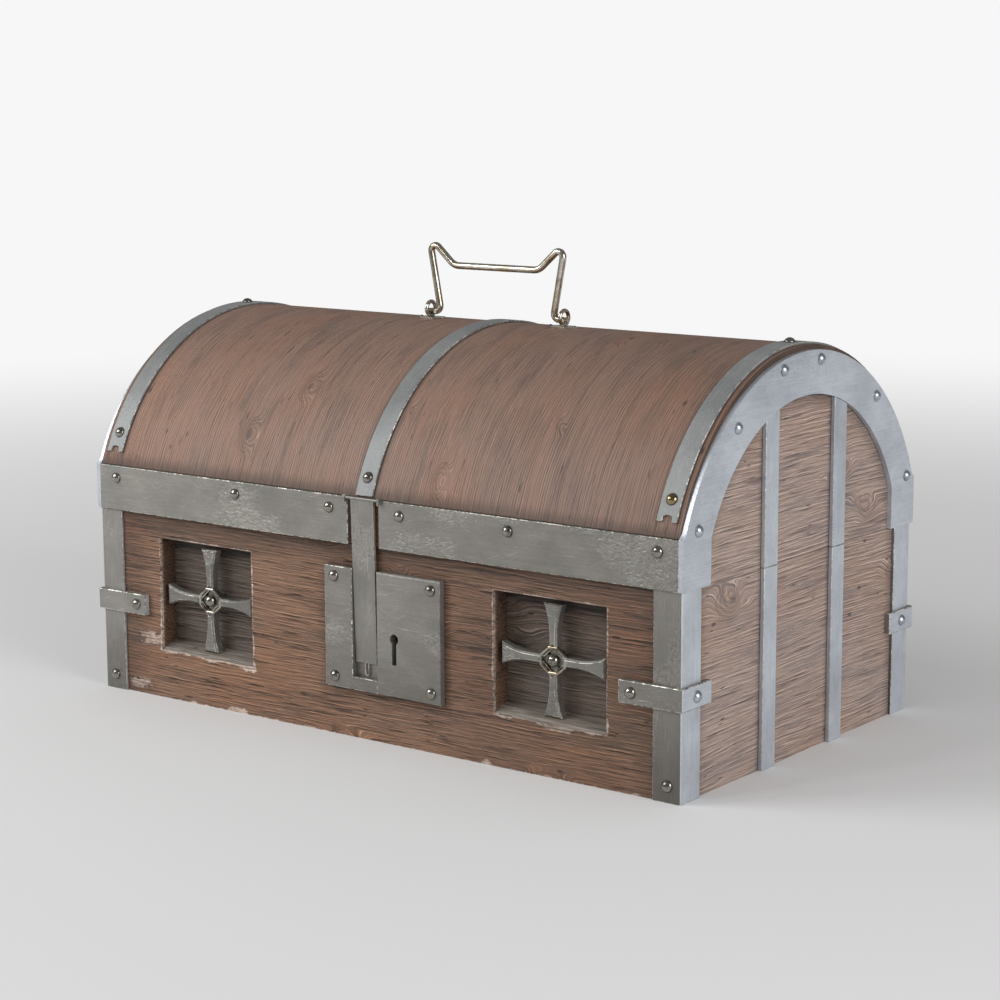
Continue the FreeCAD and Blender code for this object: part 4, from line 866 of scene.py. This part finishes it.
def ring_of_wire(centre, radius, thick, axis, around=40, section=14):
    """A closed ring of round wire."""
    bm = bmesh.new()
    verts = bmesh.ops.create_circle(bm, segments=section, radius=thick, cap_ends=False)["verts"]
    side = axis.orthogonal().normalized()
    basis = Matrix((side, axis, side.cross(axis))).transposed().to_4x4()
    bmesh.ops.transform(bm, verts=verts, matrix=Matrix.Translation(centre + side * radius) @ basis)
    bmesh.ops.spin(bm, geom=bm.verts[:] + bm.edges[:], cent=centre, axis=axis,
                   angle=2 * math.pi, steps=around, use_merge=True)
    return finish_wire(bm)


def merge(target, part):
    mesh = mesh_from("part", part)
    target.from_mesh(mesh)
    bpy.data.meshes.remove(mesh)


# ------------------------ operators

class MixPaints(bpy.types.Operator):
    """Make the materials of the whole chest"""
    bl_idname = "chest.mix_paints"
    bl_label = "Materials"

    def execute(self, context):
        palette()
        return {"FINISHED"}


class DressBoards(bpy.types.Operator):
    """Round the edges of the boards and lay their grain"""
    bl_idname = "chest.dress_boards"
    bl_label = "Boards"

    def execute(self, context):
        width = context.scene.chest_wood.edge
        for paint, nodes in (
                ("ridged_front_wood", "front_board"),
                ("ridged_back_wood", "back_board"),
                ("dark_inside_wood", "bottom_board"),
                ("ridged_end_wood", "left_end_board right_end_board"),
                ("bent_dome_wood", "lid_shell"),
                ("ridged_end_wood", "left_lid_end right_lid_end"),
                ("ridged_rail_wood", "lid_front_rail lid_back_rail"),
                ("dark_inside_wood", "left_window_back right_window_back")):
            for node in nodes.split():
                dress(node, paint, paint, width * 0.3 if paint == "ridged_end_wood" else width)
        for side, sign in zip(SIDES, (-1, 1)):
            self.lay_sill(side, sign * WINDOW_PLACE)
        return {"FINISHED"}

    def lay_sill(self, side, place):
        """The sloping floor of a window's recess, that rises towards its back."""
        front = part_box("front_board")[0].y + 0.4 * MM
        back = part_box(side + "_window_back")[0].y
        half, thick, rise, bow = WINDOW_HALF - 0.05 * MM, 0.3 * MM, 5.6 * MM, 0.45
        bm = bmesh.new()
        bmesh.ops.create_cube(bm, size=1.0)
        for vert in bm.verts:
            vert.co.x = place + vert.co.x * 2 * half
            vert.co.y = back if vert.co.y > 0 else front
            vert.co.z = WINDOW_SILL - (0.0 if vert.co.z > 0 else thick)
        bmesh.ops.subdivide_edges(bm, edges=bm.edges[:], cuts=7, use_grid_fill=True)
        for vert in bm.verts:
            if vert.co.z > WINDOW_SILL - 0.01 * MM:
                vert.co.z += rise * ((vert.co.y - front) / (back - front)) ** bow
        bmesh.ops.recalc_face_normals(bm, faces=bm.faces)
        place_piece(side + "_window_sill", bm, ("dusty_sill_wood",), "front_board", replaced=False)


class DressStraps(bpy.types.Operator):
    """Corner irons, bands, arch plates, dome straps and battens with rubbed edges"""
    bl_idname = "chest.dress_straps"
    bl_label = "Straps and bands"

    def execute(self, context):
        width = context.scene.chest_iron.edge
        for corner in CORNERS:
            # Painted light: the flanks that face the ends take the paler end iron.
            dress(corner + "_corner_strap", "strap_iron_z", "rubbed_iron_z", width, flank="end_iron_z")
            dress(corner + "_corner_bracket", "strap_iron_x", "rubbed_iron_x", width * 1.3,
                  flank="end_iron_y")
            for level in ("lower", "upper"):
                dress(corner + "_" + level + "_batten", "end_iron_z", "end_rubbed_iron_z", width * 0.8)
        for side in SIDES:
            dress(side + "_front_band", "strap_iron_x", "rubbed_iron_x", width * 1.2)
            dress(side + "_arch_plate", "end_iron_y", "end_rubbed_iron_y", width * 1.5)
            dress(side + "_dome_strap", "smooth_strap_iron", "rubbed_iron_arc", width * 0.8)
        dress("back_band", "strap_iron_x", "rubbed_iron_x", width * 1.2)
        dress("centre_dome_strap", "smooth_strap_iron", "rubbed_iron_arc", width * 0.8)
        return {"FINISHED"}


class DressLock(bpy.types.Operator):
    """Lock plates, the works behind them, the hasp and its keepers"""
    bl_idname = "chest.dress_lock"
    bl_label = "Lock and hasp"

    def execute(self, context):
        width = context.scene.chest_iron.edge
        dress("hasp_plate", "strap_iron_x", "rubbed_iron_x", width)
        dress("keyhole_plate", "strap_iron_x", "rubbed_iron_x", width * 0.6)
        dress("lock_case", "strap_iron_x", "lock_works", width * 0.5, 1)
        dress("lock_bolt", "lock_works", "lock_works", width * 0.5, 1)
        dress("lock_spring", "lock_works", "lock_works", width * 0.3, 1)
        dress("hasp", "strap_iron_z", "rubbed_iron_z", width * 0.6)
        self.cut_faces(dress("hasp_keepers", "strap_iron_x", "rubbed_iron_x", width * 0.5))
        dress("hasp_pull", "nickel_wire", "nickel_wire", width * 0.2)
        return {"FINISHED"}

    def cut_faces(self, piece):
        """Cut faces of many corners into triangles, so that they're cut alike however the lid turns."""
        bm = bmesh.new()
        bm.from_mesh(piece.data)
        bmesh.ops.triangulate(bm, faces=[face for face in bm.faces if len(face.verts) > 4])
        bm.to_mesh(piece.data)
        bm.free()


class DressCrosses(bpy.types.Operator):
    """The flared crosses in the windows and the collars round their middles"""
    bl_idname = "chest.dress_crosses"
    bl_label = "Crosses"

    def execute(self, context):
        width = context.scene.chest_iron.edge
        for side in SIDES:
            self.forge_cross(side + "_cross", width)
            collar = dress(side + "_cross_collar", "collar_steel", "collar_steel", width * 1.3, 3)
            self.seat_collar(collar)
            shade_inside_walls(collar, "collar_inside")
            self.bend_ring(side, collar)
        return {"FINISHED"}

    def forge_cross(self, node, width):
        """The cross with a wide chamfer along its front edges, and the chamfer's edges worn bright."""
        bm = from_node(node)
        front = min(vert.co.y for vert in bm.verts)
        rim = [edge for edge in bm.edges if turn_of(edge) > math.radians(60) and edge.is_convex
               and all(vert.co.y < front + 0.01 * MM for vert in edge.verts)]
        bevel(bm, rim, 2.0 * MM, 1)
        rounded = round_edges(bm, width * 0.9, least=math.radians(25))
        for face in rounded:
            face.material_index = 1
        shade(bm, rounded)
        place_piece(node + "_dressed", bm, ("cross_iron", "rubbed_iron_x"), node)

    def bend_ring(self, side, collar):
        """The bright wire round the collar's rim, straight along its sides and cut across at the tips."""
        places = [vert.co for vert in collar.data.vertices]
        front = min(at.y for at in places)
        centre = sum(places, Vector()) / len(places)
        wide, tall, cut = 10.6 * MM, 9.3 * MM, 3.6 * MM
        flat = ((wide, -cut), (wide, cut), (cut, tall), (-cut, tall),
                (-wide, cut), (-wide, -cut), (-cut, -tall), (cut, -tall))
        corners = [Vector((centre.x + across, front + 0.4 * MM, centre.z + up)) for across, up in flat]
        ring = wire_loop(corners, 1.45 * MM)
        place_piece(side + "_collar_ring", ring, ("collar_steel",), side + "_cross_collar",
                    replaced=False)

    def seat_collar(self, collar):
        """Draw the collar in, so that its rim lies just behind the faces of the arms."""
        low, high, middle = box_of(collar.data)
        deep = high.y - low.y
        scale = Vector((0.88, (deep - 5.2 * MM) / deep, 0.78))
        still = Vector((middle.x, high.y, middle.z))
        for vert in collar.data.vertices:
            vert.co = still + (vert.co - still) * scale


class DriveNails(bpy.types.Operator):
    """Domed heads on every nail and rivet"""
    bl_idname = "chest.drive_nails"
    bl_label = "Nails and rivets"

    def execute(self, context):
        # The heads' radius and rise, and how far they stand from the shank's end, in millimetres.
        for name, node, radius, rise, length in (
                ("body_nail_heads", "body_nails", 4.6, 3.3, 11.0),
                ("lid_nail_heads", "lid_nails", 4.6, 3.3, 11.0),
                ("rivet_heads", "cross_rivets", 5.0, 5.6, 14.0),
                ("plate_pin_heads", "eye_plate_pins", 1.7, 0.9, 5.0)):
            put_heads(name, node, radius * MM, rise * MM, length * MM)
        return {"FINISHED"}


class BendHandle(bpy.types.Operator):
    """The wire handle, its eyes and the plates under them"""
    bl_idname = "chest.bend_handle"
    bl_label = "Handle"

    def execute(self, context):
        self.bend_wire()
        eyes = bmesh.new()
        for sign in (-1, 1):
            self.make_eye(eyes, sign * EYE_PLACE)
        place_piece("wire_eyes", eyes, ("nickel_wire",), "handle_eyes")
        dress("handle_eye_plates", "nickel_wire", "nickel_wire", 0.25 * MM)
        return {"FINISHED"}

    def bend_wire(self):
        """The handle: its ends stand in the eyes, and are slimmer there."""
        # Places to the right and above the pivot, and the radius of each bend, in millimetres.
        half = ((69.6, 0.0), (55.2, 0.0, 4.5), (66.6, 59.2, 4.25), (41.4, 37.0, 12.0))
        left = [(-corner[0],) + corner[1:] for corner in half]
        route = [(across * MM, up * MM + HANDLE_PIVOT) + tuple(bend * MM for bend in bends)
                 for across, up, *bends in left + list(half[::-1])]
        bm = wire(route, 2.75 * MM)
        neck, taper, slimming = 60.0 * MM, 3.0 * MM, 0.327
        for vert in bm.verts:
            past = abs(vert.co.x) - neck
            up = vert.co.z - HANDLE_PIVOT
            if past > 0.0 and up < 6.0 * MM:
                slim = 1.0 - slimming * min(1.0, past / taper)
                vert.co.y *= slim
                vert.co.z = HANDLE_PIVOT + up * slim
        place_piece("wire_handle", bm, ("nickel_wire",), "handle")

    def make_eye(self, eyes, place):
        """A ring of wire on a shank that goes down through the plate."""
        centre = Vector((place, 0.0, HANDLE_PIVOT + 1.75 * MM))
        merge(eyes, ring_of_wire(centre, 5.5 * MM, 1.6 * MM, Vector((1, 0, 0))))
        shank = bmesh.new()
        bmesh.ops.create_cone(shank, cap_ends=True, segments=16, radius1=1.3 * MM, radius2=1.3 * MM,
                              depth=15.2 * MM)
        bmesh.ops.translate(shank, verts=shank.verts, vec=centre - Vector((0.0, 0.0, 12.8 * MM)))
        smooth_sides(shank)
        merge(eyes, shank)


class DressHinges(bpy.types.Operator):
    """The two back hinges"""
    bl_idname = "chest.dress_hinges"
    bl_label = "Hinges"

    def execute(self, context):
        width = context.scene.chest_iron.edge
        for side in SIDES:
            for leaf in ("_body_hinge_leaf", "_lid_hinge_leaf"):
                dress(side + leaf, "strap_iron_z", "rubbed_iron_z", width * 0.6)
        dress("hinge_pins", "nail_steel", "nail_steel", width * 0.6)
        return {"FINISHED"}


class SetStage(bpy.types.Operator):
    """Floor, lamps, sky and camera"""
    bl_idname = "chest.set_stage"
    bl_label = "Stage"
    white = (0.93, 0.93, 0.93)

    def execute(self, context):
        stage = context.scene.chest_stage
        self.lay_floor(tuple(stage.floor))
        for name, place, size, power in (
                ("front_lamp", (-1.5, -1.5, 1.35), 1.5, stage.front),
                ("side_lamp", (2.6, -0.6, 1.05), 1.8, stage.side),
                ("accent_lamp", (-0.6, -2.2, 1.9), 0.4, stage.accent)):
            self.hang_lamp(name, Vector(place), size, power)
        self.light_sky(stage.sky, stage.mirror)
        self.put_camera()
        context.scene.view_settings.view_transform = "Standard"
        return {"FINISHED"}

    def lay_floor(self, colour):
        """A matt floor that turns into the white of the sky as it goes away from the chest."""
        bm = bmesh.new()
        bmesh.ops.create_circle(bm, cap_ends=True, segments=96, radius=30.0)
        floor = put_in_scene("floor", mesh_from("floor", bm))
        paint = Paint("studio_floor")
        x, y, z = paint.place()
        away = (x * x + y * y) ** 0.5
        seen = paint.ray("Camera").above(paint.ray("Transmission"))
        matt = paint.node("ShaderNodeBsdfDiffuse", sockets={"Color": colour})
        glow = paint.node("ShaderNodeEmission", sockets={"Color": self.white, "Strength": 1.0})
        share = seen * away.step(0.45, 2.6)
        blend = paint.node("ShaderNodeMixShader", sockets={0: share, 1: matt, 2: glow})
        paint.node("ShaderNodeOutputMaterial", sockets={"Surface": blend})
        floor.data.materials.append(paint.owner)

    def hang_lamp(self, name, place, size, power):
        lamp = bpy.data.lights.new(name, "AREA")
        lamp.shape = "DISK"
        lamp.size = size
        lamp.energy = power
        holder = put_in_scene(name, lamp)
        holder.location = place
        holder.rotation_mode = "QUATERNION"
        middle = Vector((0.0, 0.0, 0.15))
        holder.rotation_quaternion = (middle - place).to_track_quat("-Z", "Y")

    def light_sky(self, strength, mirror):
        """An even sky: white to the camera, and dim in reflections, so that iron keeps its depth."""
        sky = Paint("studio_sky", "worlds")
        bpy.context.scene.world = sky.owner

        def light(colour, power):
            return sky.node("ShaderNodeBackground", sockets={"Color": colour, "Strength": power})

        def choose(share, first, second):
            return sky.node("ShaderNodeMixShader", sockets={0: share, 1: first, 2: second})

        plain = (1.0, 1.0, 1.0)
        unseen = choose(sky.ray("Glossy"), light(plain, strength), light(plain, mirror))
        seen = sky.ray("Camera").above(sky.ray("Transmission"))
        whole = choose(seen, unseen, light(self.white, 1.0))
        sky.node("ShaderNodeOutputWorld", sockets={"Surface": whole})

    def put_camera(self):
        lens = bpy.data.cameras.new("camera")
        lens.lens = 88.545
        lens.sensor_width = 36.0
        lens.clip_start = 0.05
        lens.clip_end = 100.0
        camera = put_in_scene("camera", lens)
        right = Vector((0.79594644, 0.60535263, -0.00417912))
        ahead = Vector((-0.59671413, 0.7833877, -0.1738849))
        up = right.cross(ahead)
        turn = Matrix((right, up, -ahead)).transposed().to_4x4()
        camera.matrix_world = Matrix.Translation((1.16581, -1.52676, 0.49987)) @ turn
        bpy.context.scene.camera = camera


class ChestPanel(bpy.types.Panel):
    """The chest's makers, in the order they run"""
    bl_idname = "VIEW3D_PT_chest"
    bl_label = "Strong chest"
    bl_space_type = "VIEW_3D"
    bl_region_type = "UI"
    bl_category = "Chest"

    def draw(self, context):
        for group in (context.scene.chest_wood, context.scene.chest_iron, context.scene.chest_stage):
            box = self.layout.box()
            for key in group.bl_rna.properties.keys():
                if key not in ("rna_type", "name"):
                    box.prop(group, key)
        for maker in MAKERS:
            self.layout.operator(maker.bl_idname)


MAKERS = (MixPaints, DressBoards, DressStraps, DressLock, DressCrosses, DriveNails, BendHandle,
          DressHinges, SetStage)
GROUPS = (("chest_wood", ChestWood), ("chest_iron", ChestIron), ("chest_stage", ChestStage))


def register():
    for name, group in GROUPS:
        bpy.utils.register_class(group)
        setattr(bpy.types.Scene, name, PointerProperty(type=group))
    for maker in MAKERS:
        bpy.utils.register_class(maker)
    bpy.utils.register_class(ChestPanel)


def unregister():
    bpy.utils.unregister_class(ChestPanel)
    for maker in reversed(MAKERS):
        bpy.utils.unregister_class(maker)
    for name, group in reversed(GROUPS):
        delattr(bpy.types.Scene, name)
        bpy.utils.unregister_class(group)


def main():
    register()
    for maker in MAKERS:
        area, action = maker.bl_idname.split(".")
        getattr(getattr(bpy.ops, area), action)()
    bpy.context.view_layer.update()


if __name__ == "__main__":
    main()
